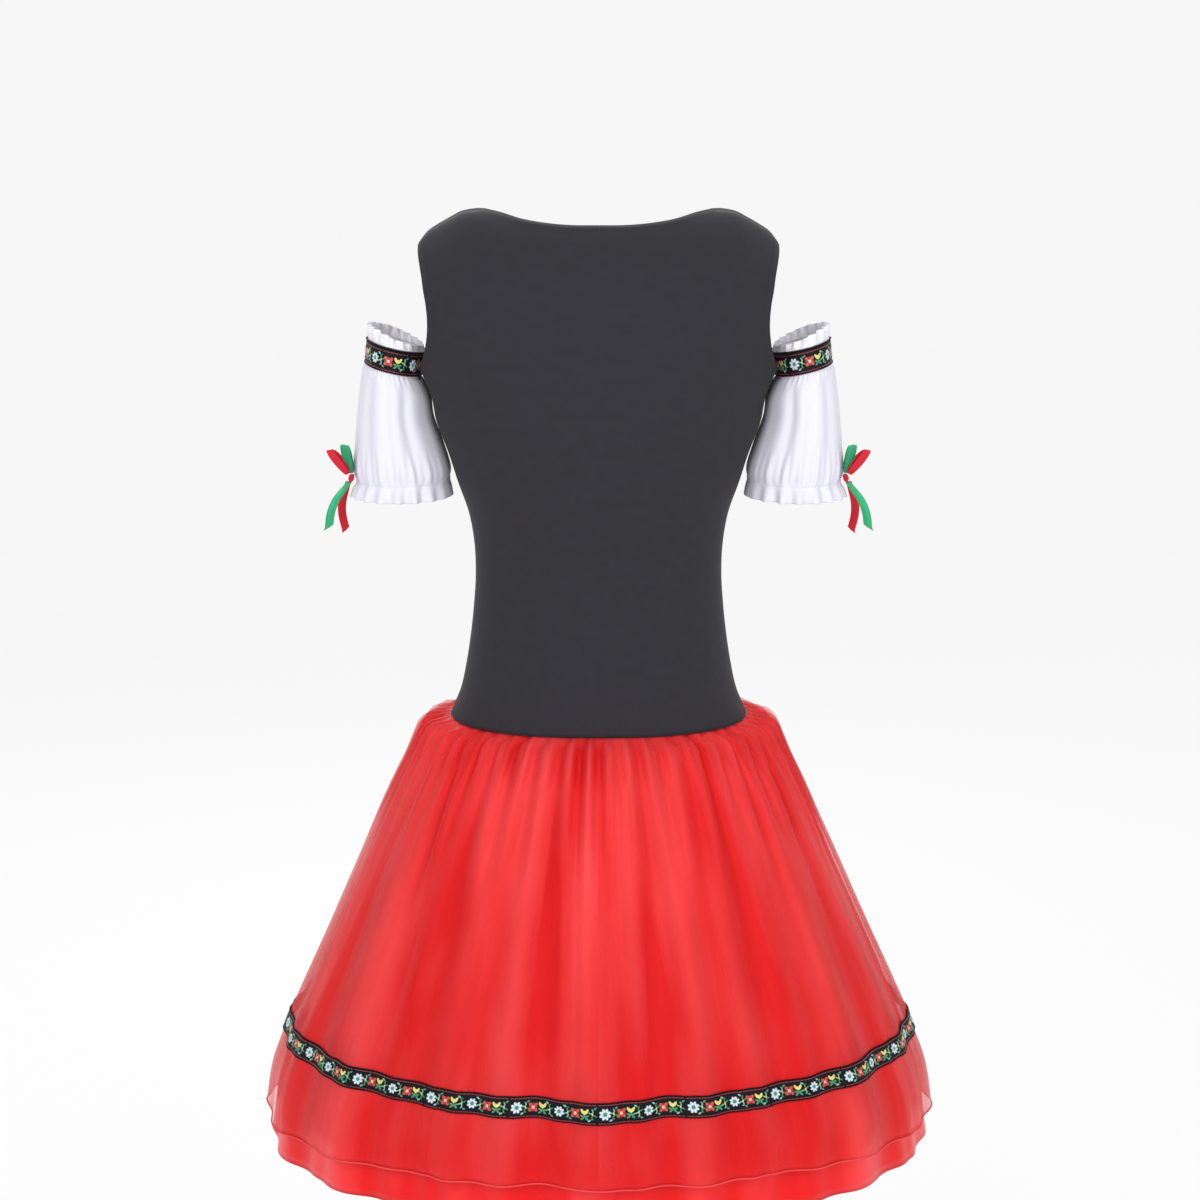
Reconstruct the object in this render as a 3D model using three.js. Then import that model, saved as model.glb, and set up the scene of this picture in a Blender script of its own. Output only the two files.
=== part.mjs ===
// A costume dirndl in its worn form, hollow, with nobody in it.
// Millimetres, +Z up. The wearer's front faces -Y and the wearer's left is +X.
// The origin is midway between the shoulders, level with the neck ends of the shoulder seams.
import * as THREE from 'three';

// Driving sizes
const SEAM_GAP = 0.3;
const KNIT = 1.2;
const SATIN = 1.0;
const ORGANZA = 1.0;
const COTTON = 1.2;
const RIBBON = 1.0;
const BOW_RIBBON_WIDTH = 9;
const BOW_RIBBON = 0.8;
const BOW_TAIL_WIDTH = 7.2;
const SEAM_HEIGHT = -460;
const ARMPIT_HEIGHT = -147;
const SHOULDER_END_HEIGHT = -31;
const SHOULDER_ROLL = 70;
const NECK_HALF_WIDTH = 104;
const FRONT_NECK_DEPTH = 108;
// How square the torso's sections are, and how its points are spread from side to side.
const TORSO_SQUARENESS = 2.3;
const COLUMN_SPREAD = 0.87;
// How round the front neckline's scoop is at its ends and at its middle.
const SCOOP_ENDS = 2.6;
const SCOOP_MIDDLE = 0.7;
const GATHERS = 52;
const BODICE_COLUMNS = 20;
const YOKE_ROWS = 7;
const SLEEVE_COLUMNS = 36;

const FINISHES = {
  knit: { color: 0x3c3b40, roughness: 0.85 },
  satin: { color: 0xe8373a, roughness: 0.35 },
  organza: { color: 0xf0555a, roughness: 0.45 },
  trim: { color: 0x17151a, roughness: 0.6 },
  cotton: { color: 0xe9e8f0, roughness: 0.8 },
  lace: { color: 0xf0eff4, roughness: 0.85 },
  red: { color: 0xc8202a, roughness: 0.35 },
  green: { color: 0x2f9a68, roughness: 0.35 },
};

function table(columns, rows) {
  return rows.map((row) => Object.fromEntries(columns.map((name, i) => [name, row[i]])));
}

// The torso at its side seams: half width, and how far the back and the front stand off the middle.
const TORSO = table(['height', 'halfWidth', 'back', 'front'], [
  [-460, 136.4, 99, 94],
  [-438, 127.4, 93, 93],
  [-412, 121.6, 87, 91],
  [-384, 117.2, 82, 90],
  [-355, 114.0, 79, 89],
  [-328, 112.3, 78, 89],
  [-300, 113.3, 79, 92],
  [-272, 118.0, 82, 99],
  [-245, 127.2, 86, 109],
  [-217, 136.0, 90, 119],
  [-190, 146.0, 94, 125],
  [-168, 150.2, 96, 124],
  [-147, 158.3, 97, 118],
  [-140, 163.0, 97, 116],
  [-130, 169.0, 97, 113],
  [-115, 175.0, 97, 109],
  [-102, 178.0, 96, 105],
  [-80, 182.0, 95, 99],
  [-60, 182.0, 94, 94],
  [-32, 180.0, 92, 88],
  [0, 178.0, 90, 84],
]);

// The armholes' edges as they stand from behind.
const ARMHOLE = table(['height', 'halfWidth'], [
  [-147, 158.3],
  [-135, 155.6],
  [-122, 151.4],
  [-108, 149.0],
  [-95, 148.6],
  [-82, 149.7],
  [-71, 151.8],
  [-60, 153.6],
  [-50, 155.9],
  [-40, 158.2],
  [-31, 159.2],
]);

// The shoulder seam from the neck out to the armhole.
const SHOULDER = table(['across', 'height'], [
  [0, 0],
  [104, -0.6],
  [121, -3.0],
  [131, -8.0],
  [142, -14.2],
  [152, -21.0],
  [160, -31.0],
]);

// The back neckline from its middle out to the shoulder seam.
const BACK_NECK = table(['across', 'height'], [
  [0, -14.6],
  [24, -14.4],
  [46, -12.6],
  [67, -9.2],
  [86, -4.0],
  [104, -0.6],
]);

// The underskirt and the overskirt from hem to seam. Folds and gathers are shares of their full depth.
const UNDERSKIRT = table(['height', 'halfWidth', 'halfDepth', 'folds', 'gathers'], [
  [-869, 311.5, 218, 1.0, 0],
  [-800, 300.0, 214, 0.95, 0],
  [-700, 262.0, 196, 0.75, 0.15],
  [-600, 218.0, 166, 0.5, 0.5],
  [-525, 185.0, 139, 0.25, 0.9],
  [-476, 151.0, 112, 0.05, 0.7],
  [-460, 135.3, 97.9, 0, 0],
]);

const OVERSKIRT = table(['height', 'halfWidth', 'halfDepth', 'folds', 'gathers'], [
  [-840, 316.0, 231, 1.0, 0],
  [-800, 309.5, 229, 1.0, 0],
  [-766, 297.5, 227, 0.95, 0],
  [-748, 291.0, 224, 0.9, 0],
  [-650, 246.5, 195, 0.7, 0.3],
  [-550, 202.0, 157, 0.35, 0.9],
  [-482, 168.0, 127, 0.05, 1.0],
  [-467, 157.5, 117, 0, 0.8],
  [-460, 136.6, 99.2, 0, 0],
]);
const RIBBON_ROWS = [2, 3];

// The skirt's deep folds, as angles from the middle of the back towards the wearer's left.
const FOLDS = table(['atSeam', 'atHem', 'depth', 'width'], [
  [15, 9.5, 13, 4.5],
  [24, 20.5, 8, 4],
  [37, 32.5, 10, 5],
  [50, 41, 9, 4.5],
  [66, 61, 8, 6],
  [83, 80, 6, 5],
  [100, 98, 8, 6],
  [116, 115, 10, 5],
  [134, 131, 9, 6],
  [149, 150, 12, 5],
  [166, 169, 8, 4.5],
  [182, 180, 11, 5],
  [197, 194, 8, 5],
  [214, 211, 12, 5.5],
  [231, 229, 9, 5],
  [247, 249, 10, 6],
  [263, 266, 7, 5],
  [281, 284, 6, 5],
  [297, 301, 9, 6],
  [312, 317, 8, 4.5],
  [323, 327.5, 11, 5],
  [335, 337.5, 9, 4],
  [345, 349, 13, 4.5],
]);
const GATHER_DEPTH = 1.8;
// How far the cloth swells out between its deep folds.
const SWELL = 3;
// The overskirt's hem hangs lower at the sides than at the back.
const HEM_LIFT = 14;

// The left sleeve from cuff to top: heights and widths of its outer and inner sides, and its half depth.
const SLEEVE = table(['outHeight', 'inHeight', 'out', 'in', 'halfDepth', 'ruffle', 'folds'], [
  [-258, -257, 222.5, 132.0, 57, 3.2, 0],
  [-250, -249, 221.0, 133.5, 56, 2.0, 0],
  [-243, -242, 218.6, 135.0, 54, 0.8, 0],
  [-231, -231, 221.0, 134.2, 57, 0.8, 0.5],
  [-206, -210, 220.0, 140.4, 58, 0, 1],
  [-175, -187, 217.0, 148.6, 57, 0, 1],
  [-150, -168, 213.5, 151.2, 54, 0, 0.7],
  [-142, -154, 211.5, 157.0, 52, 0.4, 0.2],
  [-135, -148, 208.5, 160.3, 50, 0, 0],
  [-115, -128, 206.5, 156.0, 47, 0, 0],
]);
const SLEEVE_RIBBON_ROWS = [8, 9];
const SLEEVE_FOLDS = table(['at', 'depth', 'width'], [
  [20, 2.5, 10],
  [52, 3, 9],
  [84, 2.5, 8],
  [113, 3.5, 9],
  [146, 2, 9],
  [215, 2, 9],
  [243, 3, 8],
  [270, 2.5, 9],
  [301, 3.5, 9],
  [334, 2.5, 10],
]);
const FRILL_HEIGHT = 13;
const FRILL_WAVE = 2.2;
const FRILL_RISES = [0, 0.45, 1];
// The frill is lower along the bodice and leans in a little.
const FRILL_INNER_SHARE = 0.45;
const FRILL_LEAN = 1.5;
// The share of the sleeve's turn, from its outer side, over which its folds keep their full depth.
const FREE_SHARE = 2;

// The bow's knot on the outer side of the left sleeve. Its loops and tails start at offsets from it:
// out from the sleeve, aside towards the back, and up; reach, back and up then give a loop's direction.
const KNOT = { out: 220.4, back: 14, height: -240, depth: 5, width: 12, tall: 7 };
const LOOPS = table(['name', 'out', 'aside', 'rise', 'reach', 'back', 'up', 'length', 'opening', 'colour'], [
  ['red_back', 4.4, 5.4, 4.4, 0.58, 0.2, 0.8, 28, 5, 'red'],
  ['green_back', 2.2, 1.9, 4.4, 0.17, 0.02, 0.97, 26, 3, 'green'],
  ['red_front', 5.6, -6.0, 4.6, 0.6, -0.5, 0.62, 27, 5, 'red'],
  ['green_front', 2.8, -1.8, 5.2, 0.26, -0.16, 0.87, 25, 3, 'green'],
]);
const TAILS = table(['name', 'out', 'aside', 'reach', 'back', 'drop', 'sway', 'colour'], [
  ['green', 4.2, 3.2, 18, 8, 40, 5, 'green'],
  ['red', 5.5, -4, 4, -8, 46, 5, 'red'],
]);
// The way that the ribbons' faces look, and how narrow a loop is where the knot gathers it.
const BOW_FACING = new THREE.Vector3(0.35, 1, 0).normalize();
const LOOP_ROOT_SHARE = 0.45;
const LOOP_POINTS = 10;
const TAIL_POINTS = 6;

function radians(degrees) {
  return degrees * Math.PI / 180;
}

// A smooth reading of one column of a table at any value of its first column.
function read(rows, key, column, value) {
  const sorted = [...rows].sort((a, b) => a[key] - b[key]);
  const last = sorted.length - 1;
  const wanted = Math.min(Math.max(value, sorted[0][key]), sorted[last][key]);
  let i = 0;
  while (i < last - 1 && sorted[i + 1][key] < wanted) i += 1;
  const slope = (j) => {
    const low = sorted[Math.max(j - 1, 0)];
    const high = sorted[Math.min(j + 1, last)];
    return (high[column] - low[column]) / (high[key] - low[key]);
  };
  const span = sorted[i + 1][key] - sorted[i][key];
  const t = (wanted - sorted[i][key]) / span;
  const start = sorted[i][column] * (1 + 2 * t) * (1 - t) ** 2;
  const end = sorted[i + 1][column] * (3 - 2 * t) * t ** 2;
  return start + end + span * t * (1 - t) * ((1 - t) * slope(i) - t * slope(i + 1));
}

// A closed wall between an outer and an inner grid of points. Rows run upwards, and columns run
// anticlockwise seen from above; a closed wall joins its last column to its first.
function wall(outer, inner, closed) {
  const rows = outer.length;
  const columns = outer[0].length;
  const positions = [outer, inner].flat(2).flatMap((point) => point.toArray());
  const index = (side, row, column) => (side * rows + row) * columns + column % columns;
  const faces = [];
  const quad = (a, b, c, d) => faces.push(a, b, c, a, c, d);
  const spans = closed ? columns : columns - 1;
  for (let row = 0; row < rows - 1; row += 1) {
    for (let column = 0; column < spans; column += 1) {
      const next = column + 1;
      quad(index(0, row, column), index(0, row, next), index(0, row + 1, next), index(0, row + 1, column));
      quad(index(1, row, column), index(1, row + 1, column), index(1, row + 1, next), index(1, row, next));
    }
  }
  const top = rows - 1;
  for (let column = 0; column < spans; column += 1) {
    const next = column + 1;
    quad(index(0, 0, column), index(1, 0, column), index(1, 0, next), index(0, 0, next));
    quad(index(0, top, column), index(0, top, next), index(1, top, next), index(1, top, column));
  }
  if (!closed) {
    const end = columns - 1;
    for (let row = 0; row < top; row += 1) {
      quad(index(0, row, 0), index(0, row + 1, 0), index(1, row + 1, 0), index(1, row, 0));
      quad(index(0, row, end), index(1, row, end), index(1, row + 1, end), index(0, row + 1, end));
    }
  }
  const geometry = new THREE.BufferGeometry();
  geometry.setAttribute('position', new THREE.Float32BufferAttribute(positions, 3));
  geometry.setIndex(faces);
  return geometry;
}

// The outward directions of a grid of points, from its neighbours along and up.
function normals(grid, closed) {
  const rows = grid.length;
  const columns = grid[0].length;
  const around = (column) => (closed ? (column + columns) % columns
    : Math.min(Math.max(column, 0), columns - 1));
  return grid.map((row, r) => row.map((point, c) => {
    const along = row[around(c + 1)].clone().sub(row[around(c - 1)]);
    const up = grid[Math.min(r + 1, rows - 1)][c].clone().sub(grid[Math.max(r - 1, 0)][c]);
    return along.cross(up).normalize();
  }));
}

function offset(grid, directions, distance) {
  const moved = (point, direction) => point.clone().addScaledVector(direction, distance);
  return grid.map((row, r) => row.map((point, c) => moved(point, directions[r][c])));
}

function piece(name, geometry, finish) {
  const material = new THREE.MeshStandardMaterial({ ...FINISHES[finish], metalness: 0 });
  const mesh = new THREE.Mesh(geometry, material);
  mesh.name = name;
  return mesh;
}

function mirrored(geometry) {
  const copy = geometry.clone();
  copy.scale(-1, 1, 1);
  const index = copy.getIndex().array;
  for (let i = 0; i < index.length; i += 3) {
    [index[i + 1], index[i + 2]] = [index[i + 2], index[i + 1]];
  }
  return copy;
}

// Bodice

// How far the torso's surface stands off the side seams' plane, at a point seen from the back or front.
function torsoDepth(across, height, side) {
  const width = read(TORSO, 'height', 'halfWidth', height);
  const share = Math.max(1 - (Math.abs(across) / width) ** TORSO_SQUARENESS, 0) ** (1 / TORSO_SQUARENESS);
  const below = Math.max(read(SHOULDER, 'across', 'height', Math.abs(across)) - height, 0);
  const roll = Math.sqrt(1 - (1 - Math.min(below / SHOULDER_ROLL, 1)) ** 2);
  return read(TORSO, 'height', side, height) * share * roll;
}

function neckHeight(across, side) {
  const out = Math.abs(across);
  if (out >= NECK_HALF_WIDTH) return read(SHOULDER, 'across', 'height', out);
  if (side === 'back') return read(BACK_NECK, 'across', 'height', out);
  const shoulder = read(SHOULDER, 'across', 'height', out);
  return shoulder - FRONT_NECK_DEPTH * (1 - (out / NECK_HALF_WIDTH) ** SCOOP_ENDS) ** SCOOP_MIDDLE;
}

// One bodice panel's outer points: the rows below the armpits follow the torso's sections, and the
// rows above them rise to the neckline and the shoulder seams.
function bodiceGrid(side) {
  const sign = side === 'back' ? 1 : -1;
  const shares = [];
  for (let column = 0; column <= BODICE_COLUMNS; column += 1) {
    const turn = radians(90 - 180 * column / BODICE_COLUMNS) * sign;
    shares.push(Math.sign(turn) * Math.abs(Math.sin(turn)) ** COLUMN_SPREAD);
  }
  const seamSide = sign * SEAM_GAP / 2;
  const place = (across, height) => new THREE.Vector3(
    across, seamSide + sign * torsoDepth(across, height, side), height);
  const lower = TORSO.filter((level) => level.height <= ARMPIT_HEIGHT);
  const grid = lower.map((level) => shares.map((share) => place(share * level.halfWidth, level.height)));
  for (let row = 1; row <= YOKE_ROWS; row += 1) {
    const rise = row / YOKE_ROWS;
    const edgeHeight = ARMPIT_HEIGHT + (SHOULDER_END_HEIGHT - ARMPIT_HEIGHT) * rise;
    const edge = read(ARMHOLE, 'height', 'halfWidth', edgeHeight);
    grid.push(shares.map((share) => {
      const top = neckHeight(share * ARMHOLE.at(-1).halfWidth, side);
      return place(share * edge, ARMPIT_HEIGHT + (top - ARMPIT_HEIGHT) * rise);
    }));
  }
  return grid;
}

function bodicePanel(side) {
  const grid = bodiceGrid(side);
  const directions = normals(grid, false);
  const end = BODICE_COLUMNS;
  const armpitRow = TORSO.filter((level) => level.height <= ARMPIT_HEIGHT).length - 1;
  directions.forEach((row, r) => {
    if (r <= armpitRow) [row[0], row[end]].forEach((direction) => direction.setY(0).normalize());
  });
  directions[0].forEach((direction) => direction.setZ(0).normalize());
  grid.at(-1).forEach((point, c) => {
    if (Math.abs(point.x) >= NECK_HALF_WIDTH - 1) directions.at(-1)[c].set(0, 0, 1);
  });
  return wall(grid, offset(grid, directions, -KNIT), false);
}

// Skirts

function foldDepth(degrees, rise) {
  return FOLDS.reduce((sum, fold) => {
    const centre = fold.atHem + (fold.atSeam - fold.atHem) * rise;
    const away = ((degrees - centre + 540) % 360) - 180;
    return sum + fold.depth * Math.exp(-((away / fold.width) ** 2));
  }, 0);
}

// A ring's outward direction at an angle from the middle of the back, level with the ground.
function ringDirection(halfWidth, halfDepth, turn) {
  return new THREE.Vector3(Math.sin(turn) / halfWidth, Math.cos(turn) / halfDepth, 0).normalize();
}

function skirtGrid(levels, hemLift) {
  const columns = 2 * GATHERS;
  const hem = levels[0].height;
  return levels.map((level) => {
    const rise = (level.height - hem) / (SEAM_HEIGHT - hem);
    const points = [];
    for (let column = 0; column < columns; column += 1) {
      const degrees = 360 - 360 * column / columns;
      const turn = radians(degrees);
      const direction = ringDirection(level.halfWidth, level.halfDepth, turn);
      const gather = (column % 2 ? 1 : -1) * GATHER_DEPTH * level.gathers;
      const out = gather - foldDepth(degrees, rise) * level.folds + SWELL * level.folds;
      const lift = level.height === hem ? hemLift * Math.cos(turn) ** 2 : 0;
      const point = new THREE.Vector3(level.halfWidth * Math.sin(turn), level.halfDepth * Math.cos(turn),
        level.height === SEAM_HEIGHT ? SEAM_HEIGHT - SEAM_GAP : level.height + lift);
      points.push(point.addScaledVector(direction, out));
    }
    return points;
  });
}

function skirtDirections(levels) {
  const columns = 2 * GATHERS;
  return levels.map((level) => Array.from({ length: columns }, (_, column) => {
    const turn = radians(360 - 360 * column / columns);
    return ringDirection(level.halfWidth, level.halfDepth, turn);
  }));
}

function skirt(levels, thickness, hemLift) {
  const grid = skirtGrid(levels, hemLift);
  return wall(grid, offset(grid, skirtDirections(levels), -thickness), true);
}

// The ribbon lies on the overskirt's own points between two of its rows, moved out.
function skirtRibbon() {
  const [low, high] = RIBBON_ROWS;
  const grid = skirtGrid(OVERSKIRT, HEM_LIFT).slice(low, high + 1);
  const directions = skirtDirections(OVERSKIRT).slice(low, high + 1);
  const inner = offset(grid, directions, SEAM_GAP);
  return wall(offset(grid, directions, SEAM_GAP + RIBBON), inner, true);
}

// Sleeves

function sleeveFold(degrees) {
  return SLEEVE_FOLDS.reduce((sum, fold) => {
    const away = ((degrees - fold.at + 540) % 360) - 180;
    return sum + fold.depth * Math.exp(-((away / fold.width) ** 2));
  }, 0);
}

function sleevePoint(level, column, extra) {
  const turn = 2 * Math.PI * column / SLEEVE_COLUMNS;
  const middle = (level.out + level.in) / 2;
  const reach = (level.out - level.in) / 2;
  const centre = (level.outHeight + level.inHeight) / 2;
  const tilt = (level.outHeight - level.inHeight) / 2;
  // Folds and ruffles fade out on the inner side, which lies along the bodice.
  const free = Math.min(1, (1 + Math.cos(turn)) * FREE_SHARE);
  const ruffle = (column % 2 ? 1 : -1) * level.ruffle;
  const out = (ruffle - sleeveFold(column * 360 / SLEEVE_COLUMNS) * level.folds + extra) * free;
  return new THREE.Vector3(
    middle + (reach + out) * Math.cos(turn),
    (level.halfDepth + out) * Math.sin(turn),
    centre + tilt * Math.cos(turn));
}

function sleeveGrid(levels) {
  const columns = Array.from({ length: SLEEVE_COLUMNS }, (_, column) => column);
  return levels.map((level) => columns.map((column) => sleevePoint(level, column, 0)));
}

function sleeveDirections(levels) {
  const columns = Array.from({ length: SLEEVE_COLUMNS }, (_, column) => column);
  return levels.map((level) => columns.map((column) => {
    const turn = 2 * Math.PI * column / SLEEVE_COLUMNS;
    const reach = (level.out - level.in) / 2;
    return new THREE.Vector3(Math.cos(turn) / reach, Math.sin(turn) / level.halfDepth, 0).normalize();
  }));
}

function sleeve() {
  const grid = sleeveGrid(SLEEVE);
  return wall(grid, offset(grid, sleeveDirections(SLEEVE), -COTTON), true);
}

function sleeveRibbon() {
  const [low, high] = SLEEVE_RIBBON_ROWS;
  const grid = sleeveGrid(SLEEVE).slice(low, high + 1);
  const directions = sleeveDirections(SLEEVE).slice(low, high + 1);
  const inner = offset(grid, directions, SEAM_GAP);
  return wall(offset(grid, directions, SEAM_GAP + RIBBON), inner, true);
}

// The lace stands on the sleeve's top edge and waves outwards.
function sleeveFrill() {
  const edge = SLEEVE.at(-1);
  const levels = FRILL_RISES.map((rise) => ({
    ...edge,
    outHeight: edge.outHeight + SEAM_GAP + FRILL_HEIGHT * rise,
    inHeight: edge.inHeight + SEAM_GAP + FRILL_HEIGHT * FRILL_INNER_SHARE * rise,
    out: edge.out - FRILL_LEAN * rise,
    ruffle: FRILL_WAVE * rise,
  }));
  const grid = sleeveGrid(levels);
  return wall(grid, offset(grid, sleeveDirections(levels), -RIBBON), true);
}

// Bows

// A strip of ribbon along a path of points, each with its own width, laid along a fixed direction.
function strip(points, across, widths, thickness, closed) {
  const count = points.length;
  const edge = (side, face) => points.map((point, i) => {
    const before = points[closed ? (i - 1 + count) % count : Math.max(i - 1, 0)];
    const after = points[closed ? (i + 1) % count : Math.min(i + 1, count - 1)];
    const normal = after.clone().sub(before).cross(across).normalize();
    return point.clone().addScaledVector(across, side * widths[i] / 2)
      .addScaledVector(normal, face * thickness / 2);
  });
  return wall([edge(-1, 1), edge(1, 1)], [edge(-1, -1), edge(1, -1)], closed);
}

function knotPoint(out, back, up) {
  return new THREE.Vector3(KNOT.out + out, KNOT.back + back, KNOT.height + up);
}

function knot() {
  const geometry = new THREE.BoxGeometry(KNOT.depth, KNOT.width, KNOT.tall);
  geometry.translate(...knotPoint(KNOT.depth / 2, 0, 0).toArray());
  return geometry;
}

function bowLoop(loop) {
  const away = new THREE.Vector3(loop.reach, loop.back, loop.up).normalize();
  const across = BOW_FACING.clone().cross(away).normalize();
  const open = away.clone().cross(across).normalize();
  const points = [];
  const widths = [];
  for (let i = 0; i < LOOP_POINTS; i += 1) {
    const turn = 2 * Math.PI * i / LOOP_POINTS;
    points.push(knotPoint(loop.out, loop.aside, loop.rise)
      .addScaledVector(away, loop.length / 2 * (1 - Math.cos(turn)))
      .addScaledVector(open, loop.opening / 2 * Math.sin(turn)));
    widths.push(BOW_RIBBON_WIDTH * (LOOP_ROOT_SHARE + (1 - LOOP_ROOT_SHARE) * Math.sin(turn / 2)));
  }
  return strip(points, across, widths, BOW_RIBBON, true);
}

function bowTail(tail) {
  const points = [];
  for (let i = 0; i <= TAIL_POINTS; i += 1) {
    const t = i / TAIL_POINTS;
    const out = tail.out + tail.reach * t + tail.sway * Math.sin(Math.PI * t);
    points.push(knotPoint(out, tail.aside + tail.back * t, -KNOT.tall / 2 - SEAM_GAP - tail.drop * t));
  }
  const across = new THREE.Vector3(1, 0, 0);
  return strip(points, across, points.map(() => BOW_TAIL_WIDTH), BOW_RIBBON, false);
}

const dirndl = new THREE.Group();
dirndl.add(piece('bodice_back', bodicePanel('back'), 'knit'));
dirndl.add(piece('bodice_front', bodicePanel('front'), 'knit'));
dirndl.add(piece('underskirt', skirt(UNDERSKIRT, SATIN, 0), 'satin'));
dirndl.add(piece('overskirt', skirt(OVERSKIRT, ORGANZA, HEM_LIFT), 'organza'));
dirndl.add(piece('skirt_ribbon', skirtRibbon(), 'trim'));
for (const side of ['left', 'right']) {
  const turned = (geometry) => (side === 'left' ? geometry : mirrored(geometry));
  dirndl.add(piece(`sleeve_${side}`, turned(sleeve()), 'cotton'));
  dirndl.add(piece(`sleeve_frill_${side}`, turned(sleeveFrill()), 'lace'));
  dirndl.add(piece(`sleeve_ribbon_${side}`, turned(sleeveRibbon()), 'trim'));
  dirndl.add(piece(`bow_knot_${side}`, turned(knot()), 'red'));
  for (const loop of LOOPS) {
    dirndl.add(piece(`bow_loop_${loop.name}_${side}`, turned(bowLoop(loop)), loop.colour));
  }
  for (const tail of TAILS) {
    dirndl.add(piece(`bow_tail_${tail.name}_${side}`, turned(bowTail(tail)), tail.colour));
  }
}

export default dirndl;
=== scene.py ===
"""A costume dirndl in its worn form, dressed over its rigid frame.

Sizes in the tables are millimetres in the frame's axes: +Z up, the wearer's front at -Y and the
wearer's left at +X, with the origin midway between the shoulders.
"""
import math

import bpy
import numpy as np
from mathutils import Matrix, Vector


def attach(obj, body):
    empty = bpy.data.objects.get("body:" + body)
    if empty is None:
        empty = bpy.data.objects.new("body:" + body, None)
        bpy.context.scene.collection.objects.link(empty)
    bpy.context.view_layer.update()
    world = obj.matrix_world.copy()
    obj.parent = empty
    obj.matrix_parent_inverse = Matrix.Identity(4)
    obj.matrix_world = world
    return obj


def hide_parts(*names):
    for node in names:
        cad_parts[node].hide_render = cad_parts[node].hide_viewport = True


bl_info = {
    "name": "Costume dirndl",
    "version": (1, 0, 0),
    "blender": (4, 5, 0),
    "location": "View3D > Sidebar > Dirndl",
    "description": "Builds the cloth, ribbons, lace and bows of a costume dirndl",
    "category": "Object",
}

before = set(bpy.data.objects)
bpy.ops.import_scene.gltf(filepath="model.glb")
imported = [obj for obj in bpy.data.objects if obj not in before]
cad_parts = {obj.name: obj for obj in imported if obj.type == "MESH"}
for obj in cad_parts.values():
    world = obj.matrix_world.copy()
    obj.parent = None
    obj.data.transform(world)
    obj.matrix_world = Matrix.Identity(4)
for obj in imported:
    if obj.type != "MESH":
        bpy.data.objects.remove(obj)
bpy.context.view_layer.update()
BODY = "root"
MM = 0.001
SIDES = {"left": 1, "right": -1}


def table(columns, rows):
    """A short table as named columns, sorted by the first one."""
    values = np.array(sorted(rows), dtype=float).T
    return dict(zip(columns.split(), values))


# The torso at its side seams, and how far its back and front stand off the middle.
TORSO = table("height half_width back front", [
    (-460, 136.4, 99, 94), (-438, 127.4, 93, 93), (-412, 121.6, 87, 91), (-384, 117.2, 82, 90),
    (-355, 114.0, 79, 89), (-328, 112.3, 78, 89), (-300, 113.3, 79, 92), (-272, 118.0, 82, 99),
    (-245, 127.2, 86, 109), (-217, 136.0, 90, 119), (-190, 146.0, 94, 125), (-168, 150.2, 96, 124),
    (-147, 158.3, 97, 118), (-140, 163.0, 97, 116), (-130, 169.0, 97, 113), (-115, 175.0, 97, 109),
    (-102, 178.0, 96, 105), (-80, 182.0, 95, 99), (-60, 182.0, 94, 94), (-32, 180.0, 92, 88),
    (0, 178.0, 90, 84),
])
ARMHOLE = table("height half_width", [
    (-147, 158.3), (-135, 155.6), (-122, 151.4), (-108, 149.0), (-95, 148.6), (-82, 149.7),
    (-71, 151.8), (-60, 153.6), (-50, 155.9), (-40, 158.2), (-31, 159.2),
])
SHOULDER = table("across height", [
    (0, 0), (104, -0.6), (121, -3.0), (131, -8.0), (142, -14.2), (152, -21.0), (160, -31.0),
])
BACK_NECK = table("across height", [
    (0, -14.6), (24, -14.4), (46, -12.6), (67, -9.2), (86, -4.0), (104, -0.6),
])
SEAM_HEIGHT = -460
ARMPIT_HEIGHT = -147
SHOULDER_END_HEIGHT = -31
SHOULDER_ROLL = 70
NECK_HALF_WIDTH = 104
FRONT_NECK_DEPTH = 108
SCOOP_ENDS = 2.6
SCOOP_MIDDLE = 0.7
TORSO_SQUARENESS = 2.3
COLUMN_SPREAD = 0.87
PANEL_GAP = 0.3
BODICE_COLUMNS = 120
BODICE_ROWS = 84
YOKE_ROWS = 44
TURNED_EDGE_RAISE = 0.7
NECK_STITCH_INSET = 2
NECK_STITCH_WIDTH = 0.6

# The two skirts from hem to seam. Folds and gathers are shares of their full depth.
UNDERSKIRT = table("height half_width half_depth folds gathers", [
    (-869, 311.5, 218, 1.0, 0), (-800, 300.0, 214, 0.95, 0), (-700, 262.0, 196, 0.75, 0.15),
    (-600, 218.0, 166, 0.5, 0.5), (-525, 185.0, 139, 0.25, 0.9), (-476, 151.0, 112, 0.05, 0.7),
    (-460, 135.3, 97.9, 0, 0),
])
OVERSKIRT = table("height half_width half_depth folds gathers", [
    (-840, 316.0, 231, 1.0, 0), (-800, 309.5, 229, 1.0, 0), (-766, 297.5, 227, 0.95, 0),
    (-748, 291.0, 224, 0.9, 0), (-650, 246.5, 195, 0.7, 0.3), (-550, 202.0, 157, 0.35, 0.9),
    (-482, 168.0, 127, 0.05, 1.0), (-467, 157.5, 117, 0, 0.8), (-460, 136.6, 99.2, 0, 0),
])
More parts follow.
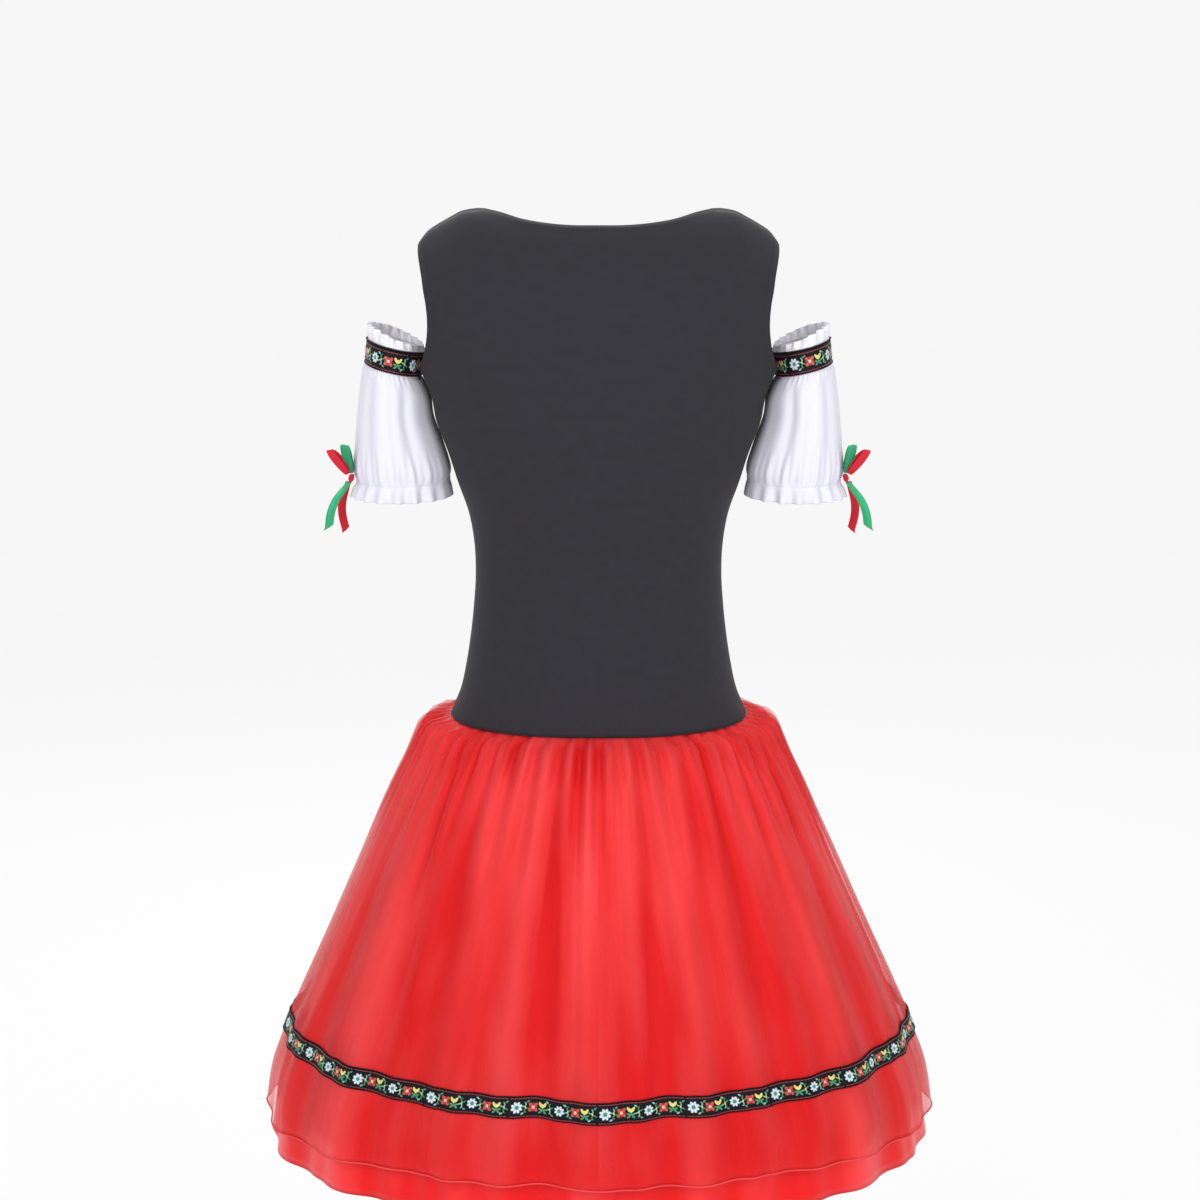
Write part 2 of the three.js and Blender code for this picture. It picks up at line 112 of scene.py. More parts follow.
# Deep folds, as angles from the middle of the back towards the wearer's left.
FOLDS = table("at_hem at_seam depth width", [
    (9.5, 15, 13, 4.5), (20.5, 24, 8, 4), (32.5, 37, 10, 5), (41, 50, 9, 4.5), (61, 66, 8, 6),
    (80, 83, 6, 5), (98, 100, 8, 6), (115, 116, 10, 5), (131, 134, 9, 6), (150, 149, 12, 5),
    (169, 166, 8, 4.5), (180, 182, 11, 5), (194, 197, 8, 5), (211, 214, 12, 5.5), (229, 231, 9, 5),
    (249, 247, 10, 6), (266, 263, 7, 5), (284, 281, 6, 5), (301, 297, 9, 6), (317, 312, 8, 4.5),
    (327.5, 323, 11, 5), (337.5, 335, 9, 4), (349, 345, 13, 4.5),
])
# Softer creases between them, each with the heights where it starts and ends.
CREASES = table("at depth width low high lean", [
    (4, 3.0, 1.6, -800, -560, 2), (-4, 3.6, 2.0, -869, -640, -2), (17, 2.6, 1.4, -760, -480, -4),
    (28, 3.0, 1.8, -869, -620, -3), (46, 2.6, 2.0, -700, -490, -5), (54, 3.2, 2.4, -869, -660, -3),
    (72, 2.4, 2.0, -800, -520, -3), (90, 2.6, 2.2, -869, -640, 0), (107, 3.0, 2.2, -780, -500, 2),
    (123, 2.8, 2.0, -869, -600, 2), (141, 3.0, 1.8, -740, -490, 3), (160, 3.2, 2.0, -869, -610, -2),
    (175, 2.6, 1.6, -720, -480, 1), (188, 3.0, 2.0, -869, -640, 1), (203, 2.8, 1.8, -760, -500, 3),
    (222, 3.2, 2.2, -869, -620, 2), (240, 2.6, 1.8, -700, -480, -2), (258, 3.0, 2.2, -869, -650, -1),
    (275, 2.4, 1.8, -760, -500, 2), (292, 3.0, 2.4, -869, -600, 3), (308, 2.8, 1.8, -720, -490, 4),
    (332, 2.8, 1.6, -869, -640, 3), (342, 2.4, 1.4, -760, -480, 4), (353, 3.0, 1.6, -720, -520, 3),
])
# Broad ridges that catch the light, each with the heights where it is brightest. A strength below
# zero marks cloth that turns from the light.
RIDGES = table("at width low high strength", [
    (4, 3.2, -860, -500, 0.9), (-7, 2.4, -700, -480, 0.8), (-15, 4.0, -869, -520, 0.9),
    (-21, 3.0, -780, -480, 0.5), (17, 3.2, -800, -500, 0.8), (28, 3.0, -760, -480, 0.5),
    (36, 3.0, -869, -600, 0.6), (53, 6.0, -860, -560, 1.0), (-30, 3.0, -869, -620, 0.6),
    (-50, 6.0, -860, -540, 0.9), (74, 4.0, -869, -600, 0.6), (92, 5.0, -830, -560, 0.6),
    (124, 5.0, -869, -560, 0.8), (142, 4.0, -800, -500, 0.7), (158, 4.0, -869, -560, 0.8),
    (174, 3.0, -780, -500, 0.7), (188, 3.6, -869, -540, 0.9), (204, 3.6, -800, -500, 0.7),
    (222, 4.0, -869, -600, 0.8), (256, 5.0, -860, -560, 0.6), (290, 4.0, -869, -580, 0.6),
    (-6.5, 4.5, -840, -680, -1.0), (0, 7, -880, -780, -0.8), (10.5, 2.2, -740, -520, -0.7),
    (-11.5, 2.4, -700, -500, -0.8), (40, 3.0, -860, -640, -0.7), (-36, 3.0, -869, -560, -0.6),
    (65, 4.0, -869, -600, -0.7), (-64, 4.0, -869, -600, -0.6), (110, 4.0, -869, -560, -0.6),
    (150, 3.0, -860, -560, -0.7), (180, 3.0, -860, -560, -0.8), (214, 3.4, -869, -580, -0.7),
])
# How far below and above its two heights a crease or a ridge fades in and out.
CREASE_FADES = (60, 30, 60, 20)
RIDGE_FADES = (90, 60, 80, 30)
SKIRT_COLUMNS = 624
SKIRT_ROWS = 76
SKIRT_SEED = 11
SWELL = 3
GATHERS = 52
GATHER_DEPTH = 1.8
GATHERS_END = -505
GATHERS_END_SWING = 80
# The heights where the puckers under the seam start, are full, and end.
PUCKERS = (-505, -474, -465, -460.5)
PUCKER_RISE = 2.8
HEM_LIFT = 14
HEM_SWING = 2.5
ROLLED_HEM_RADIUS = 0.7

# A stitch's share of its spacing, the rest being the gap, and its height off the cloth.
STITCH_SHARE = 0.72
STITCH_LIFT = 0.1

# The flower ribbons.
RIBBON_LOW = -766
RIBBON_HIGH = -748
RIBBON_ROWS = 7
RIBBON_LIFT = 0.4
SKIRT_FLOWER_SCALE = 1.14
SLEEVE_FLOWER_SCALE = 1.16
MOTIF_LENGTH = 68
EDGE_LINE_OFF_MIDDLE = 6.9
EDGE_LINE_WIDTH = 0.7
EDGE_STITCHES = 22
EDGE_STITCH_LENGTH = 2.6
PICOT_SPACING = 2.2
PICOT_WIDTH = 1.1

# The left sleeve from cuff to top.
SLEEVE = table("row out_height in_height out inner half_depth ruffle folds", [
    (0, -258, -257, 222.5, 132.0, 57, 3.2, 0), (1, -250, -249, 221.0, 133.5, 56, 2.0, 0),
    (2, -243, -242, 218.6, 135.0, 54, 0.8, 0), (3, -231, -231, 221.0, 134.2, 57, 0.8, 0.5),
    (4, -206, -210, 220.0, 140.4, 58, 0, 1), (5, -175, -187, 217.0, 148.6, 57, 0, 1),
    (6, -150, -168, 213.5, 151.2, 54, 0, 0.7), (7, -142, -154, 211.5, 157.0, 52, 0.4, 0.2),
    (8, -135, -148, 208.5, 160.3, 50, 0, 0), (9, -115, -128, 206.5, 156.0, 47, 0, 0),
])
SLEEVE_RIBBON_ROW = 8
ELASTIC_ROW = 2
TOP_ROW = 9
SLEEVE_COLUMNS = 216
SLEEVE_RIBBON_COLUMNS = 144
SLEEVE_SEED = 5
SLEEVE_WAVES = 18
# The rows where the fine gathers start, are full, fade and end: under the ribbon and over the elastic.
SLEEVE_GATHERS = ((6.2, 7.6, 7.6, 8.0), (2, 2.4, 3.0, 4.2))
SLEEVE_GATHER_DEPTH = 0.7
ELASTIC_STITCH_WIDTH = 0.7
# How soon the folds are full, away from the line where the sleeve lies beside the bodice.
FREE_SHARE = 2
SLEEVE_FOLDS = table("at depth width", [
    (20, 2.5, 10), (52, 3, 9), (84, 2.5, 8), (113, 3.5, 9), (146, 2, 9), (215, 2, 9), (243, 3, 8),
    (270, 2.5, 9), (301, 3.5, 9), (334, 2.5, 10),
])
FRILL_HEIGHT = 13
FRILL_INNER_SHARE = 0.45
FRILL_LEAN = 1.5
FRILL_WAVE = 2.2
FRILL_SWING = 0.08
FRILL_COLUMNS = 288
FRILL_ROWS = 13
FRILL_SEED = 8

# The bow's parts. Places run out from the sleeve, towards the back and up.
KNOT = {"out": 220.4, "back": 14, "height": -240, "depth": 5, "width": 12, "tall": 7}
# Each loop's name, its root off the knot, the way it points, its size and opening, and its ribbon.
LOOPS = [
    ("red_back", (4.4, 5.4, 4.4), (0.58, 0.2, 0.8), 28, 5, "red"),
    ("green_back", (2.2, 1.9, 4.4), (0.17, 0.02, 0.97), 26, 3, "green"),
    ("red_front", (5.6, -6.0, 4.6), (0.6, -0.5, 0.62), 27, 5, "red"),
    ("green_front", (2.8, -1.8, 5.2), (0.26, -0.16, 0.87), 25, 3, "green"),
]
# Each tail's ribbon, its root off the knot, its end from there, and how far it bends outwards.
TAILS = [("green", (4.2, 3.2, -3.8), (18, 8, -40), 5), ("red", (5.5, -4, -3.8), (4, -8, -46), 5)]
BOW_FACING = (0.35, 1, 0)
BOW_RIBBON_WIDTH = 9
BOW_RIBBON_SHARES = np.linspace(-1, 1, 11)
BOW_TAIL_WIDTH = 7.2
BOW_TAIL_CUP = 0.7
LOOP_ROOT_SHARE = 0.45
LOOP_TIP_NARROWING = 0.4
LOOP_SLANT = 0.35
LOOP_PLEAT = 0.5


def srgb(text):
    """An sRGB hex value as a linear colour."""
    parts = [int(text[i:i + 2], 16) / 255 for i in (1, 3, 5)]
    return tuple(p / 12.92 if p <= 0.04045 else ((p + 0.055) / 1.055) ** 2.4 for p in parts)


def colour(title, about, text):
    return bpy.props.FloatVectorProperty(
        name=title, description=about, subtype="COLOR", size=3, min=0, max=1, default=srgb(text))


def length(title, about, millimetres):
    return bpy.props.FloatProperty(
        name=title, description=about, unit="LENGTH", min=0.0001, default=millimetres * MM)


class DirndlColours(bpy.types.PropertyGroup):
    knit: colour("Knit", "Black stretch knit of the bodice", "#2A292F")
    satin: colour("Satin", "Red satin of the underskirt", "#F43436")
    organza: colour("Organza", "Sheer red overskirt", "#F6393B")
    cotton: colour("Cotton", "White cotton of the sleeves", "#DBDAE6")
    lace: colour("Lace", "White lace of the frills", "#F1F0F6")
    trim: colour("Ribbon ground", "Black ground of the flower ribbons", "#0D0B10")
    red: colour("Red ribbon", "Red satin ribbon of the bows", "#C91E2C")
    green: colour("Green ribbon", "Green satin ribbon of the bows", "#2C9A66")
    stage: colour("Stage", "Floor and backdrop", "#F6F6F6")


class DirndlSizes(bpy.types.PropertyGroup):
    knit: length("Knit", "Thickness of the bodice cloth", 1.2)
    satin: length("Satin", "Thickness of the underskirt", 0.6)
    organza: length("Organza", "Thickness of the overskirt", 0.25)
    cotton: length("Cotton", "Thickness of the sleeves", 0.8)
    ribbon: length("Ribbon", "Thickness of the flower ribbons", 0.7)
    lace: length("Lace", "Thickness of the frills", 0.4)
    bow: length("Bow ribbon", "Thickness of the bows' ribbons", 0.5)
    turned_hem: length("Turned hem", "Width of the turned neck and armhole edges", 8)
    motif_repeat: length("Flower repeat", "Length of the ribbons' pattern before it repeats", MOTIF_LENGTH)
    stitch: length("Stitch", "Length of one stitch and its gap", 3.2)


# Reading the tables

def smooth(rows, column, values):
    """A smooth reading of one column of a table at any values of its first column."""
    keys = next(iter(rows.values()))
    data = rows[column]
    values = np.clip(values, keys[0], keys[-1])
    i = np.clip(np.searchsorted(keys, values) - 1, 0, len(keys) - 2)
    slopes = np.empty(len(keys))
    slopes[1:-1] = (data[2:] - data[:-2]) / (keys[2:] - keys[:-2])
    slopes[0] = (data[1] - data[0]) / (keys[1] - keys[0])
    slopes[-1] = (data[-1] - data[-2]) / (keys[-1] - keys[-2])
    span = keys[i + 1] - keys[i]
    t = (values - keys[i]) / span
    start = data[i] * (1 + 2 * t) * (1 - t) ** 2
    end = data[i + 1] * (3 - 2 * t) * t ** 2
    return start + end + span * t * (1 - t) * ((1 - t) * slopes[i] - t * slopes[i + 1])


def ease(low, high, values):
    """0 below low, 1 above high and a smooth step between."""
    t = np.clip((values - low) / (high - low), 0, 1)
    return t * t * (3 - 2 * t)


def between(rise_start, rise_end, fall_start, fall_end, values):
    """1 from rise_end to fall_start, 0 outside the other two, and smooth steps between."""
    return ease(rise_start, rise_end, values) * (1 - ease(fall_start, fall_end, values))


def angle_between(first, second):
    return (first - second + 540) % 360 - 180


def bump(angles, at, width):
    """A bump on a ring: 1 at its own angle and less on both sides."""
    return np.exp(-(angle_between(angles, at) / width) ** 2)


def unit(vectors):
    return vectors / np.maximum(np.linalg.norm(vectors, axis=-1, keepdims=True), 1e-12)


def uneven(angles, seed, waves=(2, 3, 5, 7)):
    """A slow, uneven swing round a ring, between about -1 and 1, the same on each run."""
    draws = np.random.default_rng(seed)
    total = np.zeros_like(angles)
    for wave in waves:
        total += draws.uniform(0.5, 1) * np.sin(np.radians(angles) * wave + draws.uniform(0, 6.28))
    return total / len(waves)


# Meshes

def grid_normals(grid, closed):
    """Outward directions of a grid whose rows run up and whose columns run anticlockwise."""
    if closed:
        along = np.roll(grid, -1, axis=1) - np.roll(grid, 1, axis=1)
    else:
        along = np.gradient(grid, axis=1)
    return unit(np.cross(along, np.gradient(grid, axis=0)))


def new_object(name, data):
    obj = bpy.data.objects.new(name, data)
    bpy.context.scene.collection.objects.link(obj)
    return obj


def quads_mesh(name, points, quads, corner_uvs=None, smooth_faces=True):
    """A mesh of quads from points in millimetres."""
    mesh = bpy.data.meshes.new(name)
    mesh.vertices.add(len(points))
    mesh.vertices.foreach_set("co", (np.asarray(points) * MM).ravel())
    mesh.loops.add(quads.size)
    mesh.loops.foreach_set("vertex_index", quads.ravel())
    mesh.polygons.add(len(quads))
    mesh.polygons.foreach_set("loop_start", np.arange(0, quads.size, 4))
    mesh.polygons.foreach_set("use_smooth", np.full(len(quads), smooth_faces))
    if corner_uvs is not None:
        layer = mesh.uv_layers.new(name="cloth")
        layer.uv.foreach_set("vector", corner_uvs.ravel())
    mesh.update(calc_edges=True)
    mesh.validate()
    return mesh


def every_pair(rows, columns):
    """The row and the column of each cell of a grid."""
    return (part.ravel() for part in np.meshgrid(np.arange(rows), np.arange(columns), indexing="ij"))


def cloth(name, outer, thickness, material, closed, directions=None, folds=None):
    """A thin shell whose outside is a grid of points, with its cloth's own length and width as UV.

    folds, from -1 for a painted highlight on a ridge to 1 for painted shade deep in a fold, are kept on its
    points for the material."""
    rows, columns = outer.shape[:2]
    directions = grid_normals(outer, closed) if directions is None else directions
    inner = outer - directions * thickness
    points = np.concatenate([outer.reshape(-1, 3), inner.reshape(-1, 3)])
    spans = columns if closed else columns - 1
    step = np.linalg.norm(np.diff(outer, axis=1, append=outer[:, :1]), axis=2).mean(axis=0)
    across = np.concatenate([[0], np.cumsum(step)])
    rise = np.linalg.norm(np.diff(outer, axis=0), axis=2).mean(axis=1)
    up = np.concatenate([[0], np.cumsum(rise)])
    r, c = every_pair(rows - 1, spans)
    after = (c + 1) % columns
    back = rows * columns
    corners = [(r, c), (r, after), (r + 1, after), (r + 1, c)]
    outside = np.stack([row * columns + column for row, column in corners], axis=1)
    uv = np.stack([np.stack([across[c], up[r]], 1), np.stack([across[c + 1], up[r]], 1),
                   np.stack([across[c + 1], up[r + 1]], 1), np.stack([across[c], up[r + 1]], 1)], axis=1)
    quads = [outside, outside[:, ::-1] + back]
    uvs = [uv, uv[:, ::-1]]
    edges = [(outside[r == 0][:, [1, 0]], uv[r == 0][:, [1, 0]]),
             (outside[r == rows - 2][:, [3, 2]], uv[r == rows - 2][:, [3, 2]])]
    if not closed:
        edges += [(outside[c == 0][:, [0, 3]], uv[c == 0][:, [0, 3]]),
                  (outside[c == spans - 1][:, [2, 1]], uv[c == spans - 1][:, [2, 1]])]
    for edge, edge_uv in edges:
        quads.append(np.concatenate([edge, edge[:, ::-1] + back], axis=1))
        uvs.append(np.concatenate([edge_uv, edge_uv[:, ::-1]], axis=1))
    mesh = quads_mesh(name, points, np.concatenate(quads), np.concatenate(uvs) * MM)
    mesh.materials.append(material)
    if folds is not None:
        kept = mesh.attributes.new("fold", "FLOAT", "POINT")
        kept.data.foreach_set("value", np.tile(folds.ravel(), 2))
    return new_object(name, mesh)


def rolled_edge(name, path, ups, offs, radius, material):
    """A thin round roll along a closed path."""
    turns = np.radians(np.arange(0, 360, 45))[:, None, None]
    grid = path + ups * radius * np.sin(turns) + offs * radius * np.cos(turns)
    rows, columns = grid.shape[:2]
    r, c = every_pair(rows, columns)
    above, after = (r + 1) % rows, (c + 1) % columns
    corners = [(r, c), (r, after), (above, after), (above, c)]
    quads = np.stack([row * columns + column for row, column in corners], axis=1)
    mesh = quads_mesh(name, grid.reshape(-1, 3), quads)
    mesh.materials.append(material)
    return new_object(name, mesh)


def settle(piece, slot, *nodes):
    """Puts a piece on the body in the place of its solids, which it hides. slot, its finish, is not used.
    """
    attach(piece, BODY)
    if nodes:
        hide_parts(*nodes)
    return piece


# Materials

# Most of a noise's values lie in this range.
NOISE_RANGE = (0.3, 0.7)
TONE_MIDDLE = 0.6


def add_node(tree, kind, values=None, links=None, **settings):
    """Adds a node with its settings, its sockets' values and the sockets that feed it."""
    made = tree.nodes.new(kind)
    for name, value in settings.items():
        setattr(made, name, value)
    for socket, value in (values or {}).items():
        made.inputs[socket].default_value = value
    for socket, source in (links or {}).items():
        tree.links.new(source, made.inputs[socket])
    return made


def new_material(name):
    """An empty material with its surface shader and its output."""
    material = bpy.data.materials.new(name)
    material.use_nodes = True
    tree = material.node_tree
    tree.nodes.clear()
    shader = add_node(tree, "ShaderNodeBsdfPrincipled")
    add_node(tree, "ShaderNodeOutputMaterial", links={"Surface": shader.outputs[0]})
    return material, tree, shader


def cloth_coordinates(tree, across, up):
    """The piece's own UV, scaled so that one unit is one repeat of across by up millimetres."""
    place = add_node(tree, "ShaderNodeUVMap", uv_map="cloth")
    scale = (1 / (across * MM), 1 / (up * MM), 1)
    scaled = add_node(tree, "ShaderNodeMapping", {"Scale": scale}, {"Vector": place.outputs[0]})
    return scaled.outputs[0]


def shade(base, amount):
    return tuple(min(max(part * amount, 0), 1) for part in base) + (1,)


def lightened(base):
    """The colour of glossy cloth where it turns to the light."""
    return tuple(part ** 0.72 for part in base) + (1,)


def painted_shade_colour(base):
    """The colour of painted shade on glossy cloth deep in a fold."""
    return tuple(0.85 * part ** 1.25 for part in base) + (1,)


def blend_colours(tree, factor, first, second):
    mixed = add_node(tree, "ShaderNodeMix", {6: first, 7: second}, {0: factor}, data_type="RGBA")
    return mixed.outputs[2]


def noise(tree, across, up, detail, roughness=0.5):
    """Uneven grey from 0 to 1, stretched by the repeat it is given along and up the cloth."""
    made = add_node(tree, "ShaderNodeTexNoise", {"Scale": 1.0, "Detail": detail, "Roughness": roughness},
                    {"Vector": cloth_coordinates(tree, across, up)})
    return made.outputs[0]


def ribs(tree, across, up, distortion, detail):
    """Bands that run up the cloth, about three of them to one repeat."""
    made = add_node(tree, "ShaderNodeTexWave", {"Scale": 1.0, "Distortion": distortion, "Detail": detail},
                    {"Vector": cloth_coordinates(tree, across, up)}, wave_type="BANDS")
    return made.outputs[1]


def spread(tree, value, old_range, new_range):
    """A value moved from one range to another and kept inside it."""
    limits = {"From Min": old_range[0], "From Max": old_range[1],
              "To Min": new_range[0], "To Max": new_range[1]}
    return add_node(tree, "ShaderNodeMapRange", limits, {"Value": value}).outputs[0]


def times_and_plus(tree, value, factor, added):
    """value times factor plus added, kept between 0 and 1."""
    made = add_node(tree, "ShaderNodeMath", {1: factor}, {0: value, 2: added},
                    operation="MULTIPLY_ADD", use_clamp=True)
    return made.outputs[0]


def painted_light_tone(tree, base, drift, strength):
    """A cloth's colour, with painted highlight on ridges and painted shade deep in folds, with a slow
    drift, and the fold value itself.
    """
    fold = add_node(tree, "ShaderNodeAttribute", attribute_name="fold").outputs[2]
    centred = spread(tree, drift, NOISE_RANGE, (TONE_MIDDLE - strength, TONE_MIDDLE + strength))
    factor = times_and_plus(tree, fold, 0.5, centred)
    # Mixes from the painted highlight colour to the painted shade colour.
    return blend_colours(tree, factor, lightened(base), painted_shade_colour(base)), fold


def surface(tree, shader, tone=None, height=None, strength=0.3, depth=0.3, **values):
    """Gives a shader its colour, its low relief, depth millimetres deep, and its other values."""
    if tone is not None:
        tree.links.new(tone, shader.inputs["Base Color"])
    if height is not None:
        relief = add_node(tree, "ShaderNodeBump", {"Strength": strength, "Distance": depth * MM},
                          {"Height": height})
        tree.links.new(relief.outputs[0], shader.inputs["Normal"])
    for name, value in values.items():
        shader.inputs[name.replace("_", " ")].default_value = value


def knit_material(colours):
    """Stretch jersey, knitted: matt, with fine ribs and a soft pile that lightens at grazing angles."""
    material, tree, shader = new_material("stretch jersey")
    # Real ribs are 0.5 mm apart. They are drawn 3 mm apart so that they show.
    wales = ribs(tree, 10, 60, 0.6, 1.0)
    mottle = noise(tree, 14, 9, 6.0)
    tone = blend_colours(tree, mottle, shade(colours.knit, 0.86), shade(colours.knit, 1.14))
    surface(tree, shader, tone, wales, 0.25, 0.4, Roughness=0.86, Specular_IOR_Level=0.2,
            Sheen_Weight=0.06, Sheen_Roughness=0.5)
    return material


def satin_material(name, base, roughness=0.34):
    """Polyester satin, woven with long floats: a broad soft gloss along the threads."""
    material, tree, shader = new_material(name)
    threads = noise(tree, 3, 60, 4.0, 0.6)
    # Painted highlight on the ridges and painted shade in the folds, from the fold values kept on the
    # points.
    tone, _ = painted_light_tone(tree, base, noise(tree, 45, 160, 3.0), 0.3)
    surface(tree, shader, tone, threads, 0.3, 0.6, Specular_Tint=lightened(base), Roughness=roughness,
            Specular_IOR_Level=1.0, Sheen_Weight=0.1, Sheen_Roughness=0.3, Sheen_Tint=shade(base, 1))
    return material


def organza_material(colours):
    """Organza, a sheer plain weave of glossy threads: the cloth behind shows through its gaps."""
    material, tree, shader = new_material("organza")
    threads = noise(tree, 9, 260, 4.0, 0.55)
    # Painted highlight on the ridges and painted shade in the folds, from the fold values kept on the
    # points.
    tone, fold = painted_light_tone(tree, colours.organza, noise(tree, 60, 210, 2.0), 0.36)
    # Cloth doubled in a fold hides more of what is behind it.
    cover = times_and_plus(tree, fold, 0.25, spread(tree, threads, NOISE_RANGE, (0.28, 0.44)))
    tree.links.new(cover, shader.inputs["Alpha"])
    surface(tree, shader, tone, Specular_Tint=lightened(colours.organza), Roughness=0.4,
            Specular_IOR_Level=0.8, Sheen_Weight=0.1, Sheen_Roughness=0.35,
            Sheen_Tint=shade(colours.organza, 1))
    return material


def cotton_material(colours):
    """Cotton broadcloth, plain weave: white and matt, with a faint grain."""
    material, tree, shader = new_material("cotton broadcloth")
    grain = noise(tree, 2.4, 2.4, 4.0)
    tone = blend_colours(tree, grain, shade(colours.cotton, 0.97), shade(colours.cotton, 1.02))
    surface(tree, shader, tone, grain, 0.2, 0.4, Roughness=0.8, Sheen_Weight=0.1, Sheen_Roughness=0.5)
    return material


def lace_material(colours):
    """Machine lace on fine net: white threads with small see-through gaps."""
    material, tree, shader = new_material("net lace")
    # The real net is under 1 mm. It is drawn at 1.3 mm so that it shows.
    net = add_node(tree, "ShaderNodeTexVoronoi", {"Scale": 1.0},
                   {"Vector": cloth_coordinates(tree, 1.3, 1.3)}, feature="DISTANCE_TO_EDGE")
    cover = spread(tree, net.outputs[0], (0.1, 0.24), (0.95, 0.5))
    tree.links.new(cover, shader.inputs["Alpha"])
    surface(tree, shader, Base_Color=shade(colours.lace, 1), Roughness=0.7)
    return material


def trim_material(colours):
    """Jacquard ribbon ground: black warp ribs, with a painted highlight along their tops."""
    material, tree, shader = new_material("jacquard ribbon")
    warp = ribs(tree, 8, 40, 0.3, 2.0)
    # The rib tops are lighter by a painted highlight; the ground itself is black.
    tone = blend_colours(tree, warp, shade(colours.trim, 0.8), shade(colours.trim, 1.7))
    surface(tree, shader, tone, warp, 0.3, 0.3, Roughness=0.6, Specular_IOR_Level=0.15)
    return material


def thread_material():
    """Rayon embroidery thread: glossy, each motif in its own colour, kept on the mesh."""
    material, tree, shader = new_material("embroidery thread")
    kept = add_node(tree, "ShaderNodeAttribute", attribute_name="thread")
    surface(tree, shader, kept.outputs[0], Roughness=0.45, Sheen_Weight=0.2, Sheen_Roughness=0.4)
    return material


def plain_thread_material(name, base):
    """Sewing thread: matt polyester in one colour."""
    material, tree, shader = new_material(name)
    surface(tree, shader, Base_Color=shade(base, 1), Roughness=0.7, Specular_IOR_Level=0.15)
    return material


# Repeats along a path

def socket(tree, name, kind, way="INPUT"):
    return tree.interface.new_socket(name=name, in_out=way, socket_type=kind)


def repeat_tree(material):
    """Repeats a flat motif along a path: its x runs along the path, y up the cloth and z off it."""
    tree = bpy.data.node_groups.new("repeat along path", "GeometryNodeTree")
    socket(tree, "Path", "NodeSocketGeometry")
    socket(tree, "Motif", "NodeSocketObject")
    socket(tree, "Count", "NodeSocketInt")
    socket(tree, "Spacing", "NodeSocketFloat")
    socket(tree, "Result", "NodeSocketGeometry", "OUTPUT")
    given = add_node(tree, "NodeGroupInput").outputs
    curve = add_node(tree, "GeometryNodeMeshToCurve", links={"Mesh": given["Path"]}).outputs[0]
    motif = add_node(tree, "GeometryNodeObjectInfo", links={"Object": given["Motif"]})
    step = add_node(tree, "ShaderNodeCombineXYZ", links={"X": given["Spacing"]})
    line = add_node(tree, "GeometryNodeMeshLine",
                    links={"Count": given["Count"], "Offset": step.outputs[0]})
    placed = add_node(tree, "GeometryNodeInstanceOnPoints",
                      links={"Points": line.outputs[0], "Instance": motif.outputs["Geometry"]})
    flat = add_node(tree, "GeometryNodeRealizeInstances", links={"Geometry": placed.outputs[0]})
    where = add_node(tree, "GeometryNodeInputPosition")
    parts = add_node(tree, "ShaderNodeSeparateXYZ", links={0: where.outputs[0]}).outputs
    point = None
    for name, share in (("up", "Y"), ("off", "Z")):
        kept = add_node(tree, "GeometryNodeInputNamedAttribute", {"Name": name}, data_type="FLOAT_VECTOR")
        read = add_node(tree, "GeometryNodeSampleCurve",
                        links={"Curves": curve, "Value": kept.outputs[0], "Length": parts["X"]},
                        data_type="FLOAT_VECTOR", mode="LENGTH", use_all_curves=True)
        moved = add_node(tree, "ShaderNodeVectorMath", links={0: read.outputs[0], "Scale": parts[share]},
                         operation="SCALE")
        start = read.outputs["Position"] if point is None else point
        point = add_node(tree, "ShaderNodeVectorMath", links={0: start, 1: moved.outputs[0]}).outputs[0]
    wrapped = add_node(tree, "GeometryNodeSetPosition",
                       links={"Geometry": flat.outputs[0], "Position": point})
    single = add_node(tree, "GeometryNodeRealizeInstances", links={"Geometry": wrapped.outputs[0]})
    finished = add_node(tree, "GeometryNodeSetMaterial", {"Material": material},
                        {"Geometry": single.outputs[0]})
    add_node(tree, "NodeGroupOutput", links={0: finished.outputs[0]})
    return tree


def path_object(name, points, ups, offs, closed):
    """A line of points in millimetres that keeps the cloth's up and outward directions."""
    count = len(points)
    edges = [(i, i + 1) for i in range(count - 1)] + ([(count - 1, 0)] if closed else [])
    mesh = bpy.data.meshes.new(name)
    mesh.from_pydata((points * MM).tolist(), edges, [])
    for key, values in (("up", ups), ("off", offs)):
        layer = mesh.attributes.new(key, "FLOAT_VECTOR", "POINT")
        layer.data.foreach_set("vector", np.asarray(values, dtype=float).ravel())
    return new_object(name, mesh)


def path_length(points, closed):
    if closed:
        points = np.concatenate([points, points[:1]])
    return np.linalg.norm(np.diff(points, axis=0), axis=1).sum()


def repeat_along(name, motif, points, ups, offs, closed, spacing, material):
    """Lays copies of a motif along a path, about spacing millimetres apart, as one plain mesh."""
    total = path_length(points, closed)
    count = max(int(round(total / spacing)), 1)
    path = path_object(name, points, ups, offs, closed)
    modifier = path.modifiers.new("repeat", "NODES")
    modifier.node_group = repeat_tree(material)
    sockets = {item.name: item.identifier for item in modifier.node_group.interface.items_tree}
    modifier[sockets["Motif"]] = motif
    modifier[sockets["Count"]] = count
    modifier[sockets["Spacing"]] = total / count * MM
    evaluated = path.evaluated_get(bpy.context.evaluated_depsgraph_get())
    made = bpy.data.meshes.new_from_object(evaluated)
    path.modifiers.clear()
    path.data = made
    return path


